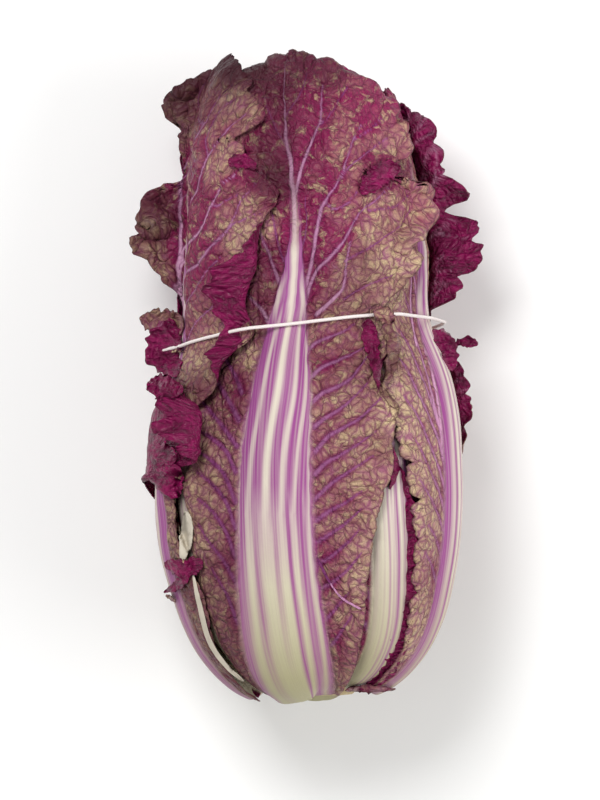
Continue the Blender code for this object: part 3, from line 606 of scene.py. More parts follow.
def leaf_sides(leaf, side, way, held_back=1.0):
    """On one side (-1 or 1) at a way: where the turning starts, the reach and the turn."""
    rib, left, right, _ = leaf_widths(leaf, way)
    turns = []
    for name in ("curl_left", "curl_right"):
        turns.append(np.maximum(through(leaf.get(name, ((0, 0, 0), (400, 0, 0))), way), 0))
    row = np.where((side < 0)[..., None], turns[0], turns[1])
    flat = np.where(side < 0, left, right) - row[..., 1]
    held = 1 - held_back * by_band(rib + side * flat / arc_radius(way), way, BAND_PASS_WIDTH)
    return flat, flat + row[..., 1] * held, np.radians(row[..., 0])


def rib_height(leaf, across, way):
    """Thickness of a leaf: a thick rounded rib that thins towards the tip, and the blade."""
    half = leaf_widths(leaf, way)[3]
    tip = leaf["stations"][-1][0]
    fade = np.clip(1 - way / tip, 0, 1) ** 0.8
    foot = leaf.get("foot", 0.62)
    foot = foot + (1 - foot) * np.clip(way / 50, 0, 1)
    crown = np.clip(1 - (np.abs(across) / half) ** 2.6, 0, 1)
    return BLADE + (leaf["rib"] * fade * foot) * crown * np.clip(half / 10, 0.15, 1)


def ruffle_height(leaf, to_edge, way):
    """How far a margin waves outwards at most."""
    return leaf["ruffle"] * np.clip((way - 60) / 60, 0, 1) * np.exp(-((to_edge / RUFFLE_DEPTH) ** 2))


def lay(leaf, stack):
    """Height field that a leaf rests on, and the stack with the leaf laid on it."""
    angles = np.arange(ANGLE_CELLS) * 2 * math.pi / ANGLE_CELLS
    ways = np.arange(stack.shape[1]) * WAY_CELL
    rest = smooth_over(stack + LEAF_GAP)
    rib = leaf_widths(leaf, ways)[0]
    turn = (angles[:, None] - rib + math.pi) % (2 * math.pi) - math.pi
    across = turn * arc_radius(ways)
    side = np.sign(across)
    flat, reach, turned = leaf_sides(leaf, side, np.broadcast_to(ways, across.shape))
    edge = np.where(turned > 0.5, flat + BEND_RADIUS, reach)
    s = np.clip(across / reach, -1, 1)
    covered = (np.abs(across) <= edge + WAY_CELL) & (ways <= leaf_top(leaf, s) + WAY_CELL)
    to_edge = np.minimum(reach - np.abs(across), leaf_top(leaf, s) - ways)
    over = rest + rib_height(leaf, across, ways) + ruffle_height(leaf, np.maximum(to_edge, 0), ways)
    return rest, np.where(covered, np.maximum(stack, over), stack)


def smooth_over(field):
    """A smooth field that is nowhere below the given one. It goes round in the first axis."""
    pad = SPREAD_CELLS
    high = np.pad(field, ((0, 0), (pad, pad)), mode="edge")
    for axis in (0, 1):
        high = np.max([np.roll(high, k, axis) for k in range(-pad, pad + 1)], axis=0)
    for _ in range(2):
        for axis in (0, 1):
            high = np.mean([np.roll(high, k, axis) for k in range(-(pad // 2), pad // 2 + 1)], axis=0)
    return high[:, pad:-pad]


def read_field(field, angle, way):
    """A field's value between its cells."""
    i = (angle / (2 * math.pi) * ANGLE_CELLS) % ANGLE_CELLS
    j = np.clip(way / WAY_CELL, 0, field.shape[1] - 1.001)
    i0, j0 = np.floor(i).astype(int), np.floor(j).astype(int)
    fi, fj = i - i0, j - j0
    i0, i1 = i0 % ANGLE_CELLS, (i0 + 1) % ANGLE_CELLS
    return (
        (field[i0, j0] * (1 - fi) + field[i1, j0] * fi) * (1 - fj)
        + (field[i0, j0 + 1] * (1 - fi) + field[i1, j0 + 1] * fi) * fj
    )


def laid_leaves():
    """Each leaf's name with the field that it rests on, and the whole stack."""
    stack = np.zeros((ANGLE_CELLS, int(FULL_WAY / WAY_CELL) + 1))
    rests = {}
    for leaf in LEAVES:
        rests[leaf["name"]], stack = lay(leaf, stack)
    return rests, stack


RESTS, STACK = laid_leaves()


def wander(at, length, seed, steps=4):
    """A smooth seeded wave between -1 and 1 whose bumps are about a length apart."""
    dice = np.random.RandomState(seed)
    total, weight = 0.0, 0.0
    for k in range(steps):
        size = 0.8**k
        total = total + size * np.sin(2 * math.pi * at / length * (0.7 + 0.33 * k) + dice.uniform(0, 6.28))
        weight += size
    return total / weight * 1.25


def frill_cut(at, seed, coarse, fine):
    """How far a margin is cut back: rounded lobes with narrow clefts between them, 0 to 1."""
    lobes = 1 - np.abs(np.sin(math.pi * at / coarse + 1.2 * wander(at, 40, seed)))
    teeth = 1 - np.abs(np.sin(math.pi * at / fine + 1.5 * wander(at, 15, seed + 1)))
    return 0.7 * lobes**2 + 0.3 * teeth**2


def fine_points(leaf, number, frills, s, t):
    """Inner face of a finely made leaf, with its places across and along and its margin."""
    name, first = leaf["name"], leaf.get("first", 0)
    # Rows lie closer together at the foot and at the tip
    t = t + 0.045 * np.sin(2 * math.pi * (t - 0.06))
    t = (t - t.min()) / (t.max() - t.min())
    side = np.where(s < 0, -1.0, 1.0)
    share = np.abs(s)
    deep, coarse, teeth = EDGES.get(name, (1.0, 13, 5))
    deep = deep * frills.cut_depth / MM
    top = leaf_top(leaf, s) - deep * frill_cut(s * 60 + 200, 40 + number, 14, 5.5) * (0.4 + 0.6 * share)
    way = first + t * (top - first)
    bow = arc_radius(way)
    rib, _, _, half = leaf_widths(leaf, way)
    tied_back = 0.0 if name == PRESSED_FLAP else 1.0
    flat, reach, turned = leaf_sides(leaf, side, way, tied_back)
    cut = frill_cut(way + 500 * (side > 0), 10 + 2 * number, coarse, teeth)
    cut = deep * np.clip((t - 0.05) / 0.15, 0, 1) * cut
    for at_side, at_way, depth, half_way in CLEFTS.get(name, ()):
        cut = cut + (side == at_side) * depth * np.exp(-np.abs((way - at_way) / half_way) ** 1.6)
    width = np.maximum(reach + 1.2 - cut, 0.5 * reach)
    # The middle columns are kept for the rib
    zone = np.minimum(np.hypot(half, 0.2 * reach), 0.72 * np.minimum(reach, width))
    blade = zone + (share - RIB_SHARE) / (1 - RIB_SHARE) * (width - zone)
    across = np.where(share < RIB_SHARE, share / RIB_SHARE * zone, blade)
    # A turned margin bends round, and then runs straight on
    beyond = np.maximum(across - flat, 0)
    bend = np.minimum(beyond / BEND_RADIUS, turned)
    straight = np.maximum(beyond - BEND_RADIUS * bend, 0)
    forward = np.minimum(across, flat) + BEND_RADIUS * np.sin(bend) + straight * np.cos(bend)
    lifted = BEND_RADIUS * (1 - np.cos(bend)) + straight * np.sin(bend)
    tied = by_band(rib + side * flat / bow, way, FLAP_WIDTH) * (1 - tied_back)
    lifted = lifted * (1 - FLAP_PRESS * tied) + 5 * tied * np.clip((straight - 6) / 5, 0, 1)
    # Waves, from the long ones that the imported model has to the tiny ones
    to_edge = np.minimum(width - across, top - way)
    free = np.clip(straight / 8, 0, 1)
    band_free, band_clear = (
        1 - by_band(rib + side * across / bow, way, clear) for clear in (BAND_PINCH_WIDTH, BAND_CLEAR_WIDTH)
    )
    along = across - way
    wave = 0.5 + 0.5 * np.sin(2 * math.pi * along / RUFFLE_LENGTH + leaf["phase"] + side)
    ruffle = ruffle_height(leaf, to_edge, way) * wave * band_free
    grown = np.clip((way - WAVY_FROM[0]) / WAVY_FROM[1], 0, 1) * band_clear
    grown = grown * (leaf["ruffle"] > 0) * frills.ruffle / MM
    for (length, reached), seed, gain in ((SMALL_WAVE, 70, 1 + 1.2 * free), (TINY_WAVE, 90, TINY_SHARE)):
        small = 0.5 + 0.5 * wander(along, length, seed + number)
        ruffle = ruffle + gain * grown * small * np.exp(-((to_edge / reached) ** 2))
    ruffle = ruffle + SWING[1] * free * band_clear * wander(way + 0.4 * across, SWING[0], 110 + number)
    forward = forward - ruffle * np.sin(bend)
    lifted = lifted + ruffle * np.abs(np.cos(bend))
    lift = read_field(RESTS[name], rib + side * np.minimum(across, flat) / bow, way) + lifted
    at_side, at_way, half_way, depth = PRESSED.get(name, (0, 0, 1, 0))
    pressed = np.exp(-(((way - at_way) / half_way) ** 4)) * np.clip(across / 50 - 0.4, 0, 1)
    lift = lift - (side == at_side) * depth * pressed
    thickness = fine_thickness(leaf, side * across, way)
    thin = np.where(thickness < 1.5 * BLADE, 0.45 + 0.12 * np.maximum(to_edge, 0), np.inf)
    thickness = np.minimum(thickness, thin)
    return rib + side * forward / bow, way, lift, thickness, side * across, half, to_edge, free * band_clear


def fine_thickness(leaf, across, way):
    """Thickness with ribs that run out softly into the blade."""
    full = rib_height(leaf, across, way)
    half = leaf_widths(leaf, way)[3]
    middle = rib_height(leaf, 0 * across, way) - BLADE
    soft = BLADE + 0.93 * middle * np.exp(-((np.abs(across) / (0.86 * half)) ** 2.6))
    return np.where(half > 6, 0.45 * full + 0.55 * soft, soft)


def seen_to_flat(points, across, way, free, targets):
    """Places on the flat leaf for places in the front view, taken from its nearest grid point."""
    open_part = free < 0.05
    x, y, up = points[open_part].T / MM
    flats = np.column_stack([across, way])[open_part]
    nearest = [np.argmin((x - a) ** 2 + (y - (h - MIDDLE_Y)) ** 2 - 0.04 * up) for a, h in targets]
    return flats[nearest]


def rule_veins(leaf, number):
    """Side veins that leave the rib in pairs, as (half widths, pale, flat places)."""
    dice = np.random.RandomState(300 + number)
    tip = leaf["stations"][-1][0]
    rows = [(1.4, 0.7, 0.8, np.array([(0.0, w) for w in np.linspace(0.6 * tip, tip, 12)]))]
    f = np.linspace(0, 1, 6)
    for side in (-1, 1):
        way = VEIN_START + dice.uniform(0, 8)
        while way < tip - VEIN_STOP:
            _, left, right, half = leaf_widths(leaf, np.array(way))
            reach = float(left if side < 0 else right)
            rise = (0.55 + 0.35 * way / tip) * reach
            spread = half * 0.8 + (reach * 0.97 - half * 0.8) * f ** (1.15 + 0.1 * dice.uniform())
            path = np.column_stack([side * spread, way + rise * f**0.9])
            rows.append((1.4, 0.45, 0.35, path))
            for start in (2, 3, 4):
                turn = dice.uniform(0.3, 0.8) * (1 if dice.uniform() < 0.6 else -1)
                out = path[min(start + 1, 5)] - path[start]
                spun = complex(*out) * complex(math.cos(turn), math.sin(turn))
                twig = [path[start] + np.array([spun.real, spun.imag]) * k for k in (0, 0.6, 1.3)]
                rows.append((0.6, 0.35, 0.1, np.array(twig)))
            way += dice.uniform(*VEIN_STEP)
    return rows


def vein_fields(flats, veins):
    """How much each place is on a vein, its rise in mm, how pale, how near and how puffed up it is."""
    far_off = np.full(len(flats), VEIN_REACH + 1.0)
    on, beside, rise, pale = np.zeros((4, len(flats)))
    for wide, narrow, paleness, path in veins:
        steps = np.arange(len(path))
        fine = through(np.column_stack([steps, path]), np.linspace(0, len(path) - 1, 5 * len(path)))
        low, high = fine.min(axis=0) - VEIN_REACH, fine.max(axis=0) + VEIN_REACH
        near = np.where(((flats >= low) & (flats <= high)).all(axis=1))[0]
        spots = flats[near]
        best = np.full(len(near), 1e9)
        share = np.zeros(len(near))
        for k in range(len(fine) - 1):
            a, d = fine[k], fine[k + 1] - fine[k]
            f = np.clip(((spots - a) @ d) / max(d @ d, 1e-9), 0, 1)
            far = np.hypot(*(spots - a - f[:, None] * d).T)
            closer = far < best
            best = np.where(closer, far, best)
            share = np.where(closer, (k + f) / (len(fine) - 1), share)
        half = wide + (narrow - wide) * share
        here = np.clip(1.35 - best / half, 0, 1)
        here = here * here * (3 - 2 * here)
        pale[near] = np.where(here > on[near], paleness * (1 - 0.5 * share), pale[near])
        around = np.exp(-best / (1.9 * half + 0.6)) * np.clip(1.2 * half, 0, 1)
        for field, value in ((on, here), (rise, half * np.exp(-((best / half) ** 2))), (beside, around)):
            field[near] = np.maximum(field[near], value)
        far_off[near] = np.minimum(far_off[near], best + 1.5 * np.clip(1 - half, 0, 1))
    return on, rise, pale, beside, 1 - np.exp(-((far_off / PUFF_WIDTH) ** 2))


def stripe_field(name, u, way, half_mm):
    """Purple along the rib, 0 to 1."""
    total = np.zeros(len(u))
    u = u + 0.03 * wander(way, 90, 5)
    for middle, half, strength, fade in STRIPES.get(name, PLAIN_STRIPES):
        line = np.exp(-(np.abs((u - middle) / half) ** 3))
        total = np.maximum(total, line * strength * np.clip((way - fade + 40) / 60, 0.0, 1))
    total = total * (0.8 + 0.2 * np.clip((way - 40) / 50, 0, 1))
    high = np.clip((way - MAUVE_FROM) / 50, 0, 1)
    total = np.maximum(total, MAUVE.get(name, 0) * high)
    drift = np.clip((way - 100) / 90, 0, 1.3) ** 0.7
    for low_middle, high_middle, half, strength in PALE_LINES.get(name, ()):
        middle = low_middle + (high_middle - low_middle) * drift
        total = total * (1 - strength * high * np.exp(-(np.abs((u - middle) / half) ** 3)))
    # Towards the tip the purple flanks close in on a narrow pale core
    tip = np.clip((way - FLANKS_CLOSE) / 12, 0, 1)
    core = np.exp(-((np.abs(u * half_mm) / CORE_HALF) ** 3))
    strands = 0.7 * np.exp(-((np.abs(np.abs(u) - 0.7) / 0.16) ** 3))
    strands = strands * np.clip((STRANDS_END - way) / 12, 0, 1)
    return total * (1 - tip) + tip * (1 - np.maximum(0.86 * core, strands))


def tint_fields(points):
    """Flush and darkness, which is partly painted shade, of the outer faces at points of the head."""
    rows = np.array(TINTS)
    xh = points[:, :2] / MM + (0, MIDDLE_Y)
    far = ((xh[:, None, :] - rows[None, :, :2]) ** 2).sum(axis=2)
    weight = np.exp(-far / (2 * TINT_SPREAD**2)) + 1e-6 / (1 + far)
    weight /= weight.sum(axis=1)[:, None]
    flush, dark = (weight @ rows[:, 2:]).T
    # Painted shade, darker towards the left side of the head
    left = np.clip((DARK_LEFT_OF - xh[:, 0]) / 20, 0, 1)
    high = np.clip((xh[:, 1] - REDDER_ABOVE) / 40, 0, 1)
    return np.clip((1.15 + 0.25 * high) * flush + 0.1 * high, 0, 1), np.clip(1.1 * dark + 0.08 * left, 0, 1)


def fill(tree, node, inputs):
    """Gives a node's inputs, by name or in order, their values or links."""
    for key, value in inputs.items() if isinstance(inputs, dict) else enumerate(inputs):
        if isinstance(value, bpy.types.NodeSocket):
            tree.links.new(value, node.inputs[key])
        else:
            node.inputs[key].default_value = value


def add(tree, kind, inputs=(), out=0, **settings):
    """Adds a node with its settings, fills its inputs, and returns an output."""
    made = tree.nodes.new(kind)
    for name, value in settings.items():
        setattr(made, name, value)
    fill(tree, made, inputs)
    return made.outputs[out] if len(made.outputs) else made


def new_material(name):
    """A material with an empty Principled shader, its tree and the shader's node."""
    material = bpy.data.materials.new(name)
    material.use_nodes = True
    tree = material.node_tree
    return material, tree, tree.nodes["Principled BSDF"]


def net_place(tree, flat):
    """The place on the flat leaf, pushed about by noise so that the net's lines wander."""
    push = add(tree, "ShaderNodeTexNoise", {"Vector": flat, "Scale": 110.0, "Detail": 3.0}, out="Color")
    push = add(tree, "ShaderNodeVectorMath", (push, (0.5, 0.5, 0.5)), operation="SUBTRACT")
    push = add(tree, "ShaderNodeVectorMath", {0: push, "Scale": 0.009}, operation="SCALE")
    return add(tree, "ShaderNodeVectorMath", (flat, push), operation="ADD")


def leaf_outer_material():
    """Outer face of a napa leaf: waxy skin with a raised net of purple veins.

    The eye sees tan areoles between purple lines, lilac side veins and a cream rib with
    purple stripes. Each areole's middle has a painted highlight, and the tints' darkness is partly
    painted shade. The wax gives a soft broad gloss.
    """
    material, tree, shader = new_material("napa_leaf_outer_skin")
    flat = add(tree, "ShaderNodeAttribute", attribute_name="flat", out="Vector")
    rib, stripe, vein, pale, flush, dark, edge, beside = (
        add(tree, "ShaderNodeAttribute", attribute_name=name, out="Fac")
        for name in ("rib", "stripe", "vein", "pale", "flush", "dark", "edge", "beside")
    )
    pushed = net_place(tree, flat)
    big, mid, fine = (
        add(tree, "ShaderNodeTexVoronoi", {"Vector": pushed, "Scale": scale}, **CELLS)
        for scale in (NET_SCALE, *FINER_NETS)
    )
    blotch = add(tree, "ShaderNodeTexNoise", {"Vector": flat, "Scale": 60.0, "Detail": 5.0, "Roughness": 0.6})
    patch = {"Vector": pushed, "Scale": 170.0, "Detail": 4.0, "Roughness": 0.65}
    patch = add(tree, "ShaderNodeTexNoise", patch)
    speck = add(tree, "ShaderNodeTexNoise", {"Vector": flat, "Scale": 420.0, "Detail": 4.0})
    # Areoles are gold in patches, and a painted highlight makes each swollen middle lighter and more gold,
    # with rosier rims towards the lines round it
    middle = add(tree, "ShaderNodeMapRange", (mid, 0.04, 0.34, -0.25, 0.35))
    gold_and_highlight = add(tree, "ShaderNodeMapRange", (patch, 0.32, 0.66, 0.0, 1.0))
    gold_and_highlight = add(tree, "ShaderNodeMath", (gold_and_highlight, middle), operation="ADD", use_clamp=True)
    olive = add(tree, "ShaderNodeMapRange", (blotch, 0.5, 0.7, 0.0, 0.65))
    # The flush comes and goes from one areole to the next
    mottle = add(tree, "ShaderNodeMath", (blotch, patch), operation="ADD")
    mottle = add(tree, "ShaderNodeMapRange", (mottle, 0.7, 1.3, -0.34, 0.34))
    flushed = add(tree, "ShaderNodeMath", (flush, mottle), operation="ADD")
    flushed = add(tree, "ShaderNodeMath", (beside, 0.75, flushed), operation="MULTIPLY_ADD", use_clamp=True)
    fleck = add(tree, "ShaderNodeMapRange", (patch, 0.52, 0.64, 1.0, 0.3))
    flushed = add(tree, "ShaderNodeMath", (flushed, fleck), operation="MULTIPLY")
    shaded = add(tree, "ShaderNodeMapRange", (beside, 0.25, 0.85, 0.0, 0.85))
    # Some lines of the net are strong and others hardly show
    net = 0.0
    for cell, width, strength in ((fine, 0.16, 0.4), (mid, 0.085, 0.65), (big, 0.035, 0.9)):
        line = add(tree, "ShaderNodeMapRange", (cell, 0.0, width, strength, 0.0), **SMOOTH)
        net = add(tree, "ShaderNodeMath", (net, line), operation="MAXIMUM")
    worn = add(tree, "ShaderNodeMapRange", (patch, 0.35, 0.6, 0.5, 1.0))
    net = add(tree, "ShaderNodeMath", (net, worn), operation="MULTIPLY")
    vein_colour = {0: pale, 6: COLOURS["vein_dark"], 7: COLOURS["vein_pale"]}
    vein_colour = add(tree, "ShaderNodeMix", vein_colour, **RGBA)
    # Long fibres in the rib: noise stretched a hundredfold along it
    fibre = add(tree, "ShaderNodeMapping", {"Vector": flat, "Scale": (1100.0, 9.0, 1.0)})
    fibre = add(tree, "ShaderNodeTexNoise", {"Vector": fibre, "Scale": 1.0, "Detail": 3.0})
    place_along = add(tree, "ShaderNodeSeparateXYZ", (flat,), out="Y")
    foot = add(tree, "ShaderNodeMapRange", (place_along, 0.1, 0.02, 0.0, 1.0))
    gain = add(tree, "ShaderNodeMapRange", (fibre, 0.35, 0.65, 0.76, 1.1))
    shift = add(tree, "ShaderNodeMapRange", (fibre, 0.45, 0.75, 0.0, 0.1))
    striped = add(tree, "ShaderNodeMath", (stripe, gain, shift), operation="MULTIPLY_ADD", use_clamp=True)
    rib_colour = COLOURS["rib_cream"]
    for share, colour in ((foot, "rib_foot"), (striped, "rib_purple")):
        rib_colour = add(tree, "ShaderNodeMix", {0: share, 6: rib_colour, 7: COLOURS[colour]}, **RGBA)
    # The margin's dried brown, and the tints' darkness, which is partly painted shade, both in the dried
    # colour
    dried_and_shade = add(tree, "ShaderNodeMapRange", (edge, 0.0, 0.0016, 0.7, 0.0))
    dried_and_shade = add(tree, "ShaderNodeMath", (dried_and_shade, dark), operation="MAXIMUM")
    # The colours lie over each other, with the rib, and the dried margin and painted shade, on top
    skin = COLOURS["areole_rose"]
    for share, colour in (
        (gold_and_highlight, COLOURS["areole_gold"]), (olive, COLOURS["areole_olive"]), (flushed, COLOURS["flushed"]),
        (shaded, COLOURS["vein_shade"]), (net, COLOURS["net"]), (vein, vein_colour), (rib, rib_colour),
        (dried_and_shade, COLOURS["dried"]),
    ):
        skin = add(tree, "ShaderNodeMix", {0: share, 6: skin, 7: colour}, **RGBA)
    # Each areole is a small dome between sunken lines, with a fine grain on the skin
    dome = add(tree, "ShaderNodeMapRange", (mid, 0.0, 0.3, 0.0, 0.5), **SMOOTH)
    swell = add(tree, "ShaderNodeMapRange", (big, 0.0, 0.3, 0.0, 0.8), **SMOOTH)
    swell = add(tree, "ShaderNodeMath", (swell, dome), operation="ADD")
    swell = add(tree, "ShaderNodeMath", (patch, 1.3, swell), operation="MULTIPLY_ADD")
    blade = add(tree, "ShaderNodeMath", (1.0, rib), operation="SUBTRACT")
    swell = add(tree, "ShaderNodeMath", (swell, blade), operation="MULTIPLY")
    for grain, share in ((speck, 0.12), (fibre, 0.2)):
        swell = add(tree, "ShaderNodeMath", (grain, share, swell), operation="MULTIPLY_ADD")
    bump = add(tree, "ShaderNodeBump", {"Height": swell, "Strength": 1.0, "Distance": 0.001})
    gloss = add(tree, "ShaderNodeMapRange", (blotch, 0.3, 0.7, 0.4, 0.58))
    fill(tree, shader, {"Base Color": skin, "Normal": bump, "Roughness": gloss, **WAX})
    return material


def leaf_inner_material():
    """Inner face of a napa leaf: vivid magenta skin, crumpled and a little glossy.

    The eye sees paler ribs, and magenta skin with painted shade and light: deeper in the hollows and brighter
    on the swells.
    """
    material, tree, shader = new_material("napa_leaf_inner_skin")
    flat = add(tree, "ShaderNodeAttribute", attribute_name="flat", out="Vector")
    rib, vein = (add(tree, "ShaderNodeAttribute", attribute_name=name, out="Fac") for name in ("rib", "vein"))
    blotch = add(tree, "ShaderNodeTexNoise", {"Vector": flat, "Scale": 70.0, "Detail": 5.0, "Roughness": 0.6})
    # Fine wrinkles that run out to the margin
    along = add(tree, "ShaderNodeMapping", {"Vector": flat, "Scale": (150.0, 420.0, 1.0)})
    wrinkle = {"Vector": along, "Scale": 1.0, "Detail": 4.0, "Distortion": 0.6}
    wrinkle = add(tree, "ShaderNodeTexNoise", wrinkle)
    net = add(tree, "ShaderNodeTexVoronoi", {"Vector": net_place(tree, flat), "Scale": 300.0}, **CELLS)
    swell = add(tree, "ShaderNodeMath", (wrinkle, blotch), operation="ADD")
    swell = add(tree, "ShaderNodeMath", (net, 0.35, swell), operation="MULTIPLY_ADD")
    swell = add(tree, "ShaderNodeMapRange", (swell, 0.8, 1.3, 0.0, 1.0))
    on_vein = add(tree, "ShaderNodeMath", (vein, 0.22), operation="MULTIPLY")
    # Painted shade and light: the shaded magenta in the hollows, the bright one on the swells that the bump
    # raises
    skin = COLOURS["inner_shaded"]
    for share, colour in ((swell, "inner_bright"), (on_vein, "vein_pale"), (rib, "rib_cream")):
        skin = add(tree, "ShaderNodeMix", {0: share, 6: skin, 7: COLOURS[colour]}, **RGBA)
    height = add(tree, "ShaderNodeMath", (net, 0.8, swell), operation="MULTIPLY_ADD")
    bump = add(tree, "ShaderNodeBump", {"Height": height, "Strength": 0.8, "Distance": 0.0014})
    fill(tree, shader, {"Base Color": skin, "Normal": bump, "Roughness": 0.38, **WAX})
    return material


def heart_material():
    """Packed heart leaves: pale, tender skin with magenta frills at the top, and painted shade in the frills'
    folds.
    """
    material, tree, shader = new_material("napa_heart_skin")
    here = add(tree, "ShaderNodeTexCoord", out="Object")
    fold = add(tree, "ShaderNodeTexNoise", {"Vector": here, "Scale": 95.0, "Detail": 5.0, "Distortion": 1.2})
    up = add(tree, "ShaderNodeSeparateXYZ", (here,), out="Y")
    red = add(tree, "ShaderNodeMapRange", (up, -0.02, 0.12, 0.1, 1.5))
    red = add(tree, "ShaderNodeMath", (fold, red), operation="MULTIPLY")
    red = add(tree, "ShaderNodeMapRange", (red, 0.12, 0.42, 0.0, 1.0))
    # Painted shade in the folds of the frills
    crease_shade = {"Vector": here, "Scale": 38.0, "Detail": 4.0, "Distortion": 2.2}
    crease_shade = add(tree, "ShaderNodeTexNoise", crease_shade)
    crease_shade = add(tree, "ShaderNodeMapRange", (crease_shade, 0.4, 0.56, 0.95, 0.0))
    crease_shade = add(tree, "ShaderNodeMath", (crease_shade, red), operation="MULTIPLY")
    skin = COLOURS["heart_pale"]
    for share, colour in ((red, "inner_bright"), (crease_shade, "inner_shaded")):
        skin = add(tree, "ShaderNodeMix", {0: share, 6: skin, 7: COLOURS[colour]}, **RGBA)
    bump = add(tree, "ShaderNodeBump", {"Height": fold, "Strength": 1.0, "Distance": 0.005})
    fill(tree, shader, {"Base Color": skin, "Normal": bump, "Roughness": 0.5})
    return material


def stem_material():
    """Cut stem: pale fibrous flesh, browned a little where it has dried."""
    material, tree, shader = new_material("napa_stem_cut_flesh")
    here = add(tree, "ShaderNodeTexCoord", out="Object")
    centred = add(tree, "ShaderNodeMapping", {"Vector": here, "Location": (-0.004, 0.0, -AXIS_HEIGHT * MM)})
    rounding = (1.0, 0.0, 1.0 / FLATTENING)
    round_it = add(tree, "ShaderNodeVectorMath", (centred, rounding), operation="MULTIPLY")
    radius = add(tree, "ShaderNodeVectorMath", (round_it,), operation="LENGTH", out="Value")
    fibre = add(tree, "ShaderNodeTexVoronoi", {"Vector": round_it, "Scale": 420.0})
    patch = add(tree, "ShaderNodeTexNoise", {"Vector": here, "Scale": 120.0, "Detail": 4.0})
    brown = add(tree, "ShaderNodeMapRange", (radius, 0.011, 0.017, 0.0, 1.0), **SMOOTH)
    brown = add(tree, "ShaderNodeMath", (brown, patch), operation="MULTIPLY")
    brown = add(tree, "ShaderNodeMath", (fibre, 0.35, brown), operation="MULTIPLY_ADD", use_clamp=True)
    flesh = add(tree, "ShaderNodeMix", {0: brown, 6: COLOURS["cut_face"], 7: COLOURS["cut_brown"]}, **RGBA)
    bump = add(tree, "ShaderNodeBump", {"Height": fibre, "Strength": 0.5, "Distance": 0.0006})
    fill(tree, shader, {"Base Color": flesh, "Normal": bump, "Roughness": 0.62})
    return material


def cord_material():
    """Elastic cord: rubber core in a white woven cotton sleeve, dull and slightly furry."""
    material, tree, shader = new_material("woven_elastic_cord")
    where = add(tree, "ShaderNodeAttribute", attribute_name="weave", out="Vector")
    thread = {"Vector": where, "Scale": 1.0, "Distortion": 0.4}
    thread = add(tree, "ShaderNodeTexWave", thread, bands_direction="DIAGONAL")
    fluff = add(tree, "ShaderNodeTexNoise", {"Vector": where, "Scale": 3.0, "Detail": 4.0})
    shade = add(tree, "ShaderNodeMapRange", (thread, 0.0, 1.0, 0.16, 0.0))
    sleeve = add(tree, "ShaderNodeMix", {0: shade, 6: COLOURS["cord"], 7: COLOURS["cord_shade"]}, **RGBA)
    height = add(tree, "ShaderNodeMath", (fluff, 0.3, thread), operation="MULTIPLY_ADD")
    bump = add(tree, "ShaderNodeBump", {"Height": height, "Strength": 0.5, "Distance": 0.0003})
    fill(tree, shader, {"Base Color": sleeve, "Normal": bump, "Roughness": 0.8, "Sheen Weight": 0.3})
    return material


def input_key(tree, name):
    """The identifier of a named input of a node tree."""
    for item in tree.interface.items_tree:
        if item.item_type == "SOCKET" and item.in_out == "INPUT" and item.name == name:
            return item.identifier
    raise RuntimeError(f"no input named {name}")


def new_shape_tree(name, sizes):
    """A geometry node tree with a geometry, size inputs and a material, and its inputs' outputs."""
    tree = bpy.data.node_groups.new(name, "GeometryNodeTree")
    tree.interface.new_socket("Geometry", in_out="INPUT", socket_type="NodeSocketGeometry")
    for label, value in sizes.items():
        kind = "NodeSocketInt" if isinstance(value, int) else "NodeSocketFloat"
        tree.interface.new_socket(label, in_out="INPUT", socket_type=kind).default_value = value
    tree.interface.new_socket("Material", in_out="INPUT", socket_type="NodeSocketMaterial")
    tree.interface.new_socket("Geometry", in_out="OUTPUT", socket_type="NodeSocketGeometry")
    return tree, tree.nodes.new("NodeGroupInput").outputs


def end_shape_tree(tree, geometry, given):
    """Ends a tree in Realize Instances and Set Material."""
    real = add(tree, "GeometryNodeRealizeInstances", {"Geometry": geometry})
    finished = add(tree, "GeometryNodeSetMaterial", {"Geometry": real, "Material": given["Material"]})
    add(tree, "NodeGroupOutput", {"Geometry": finished})
    return tree


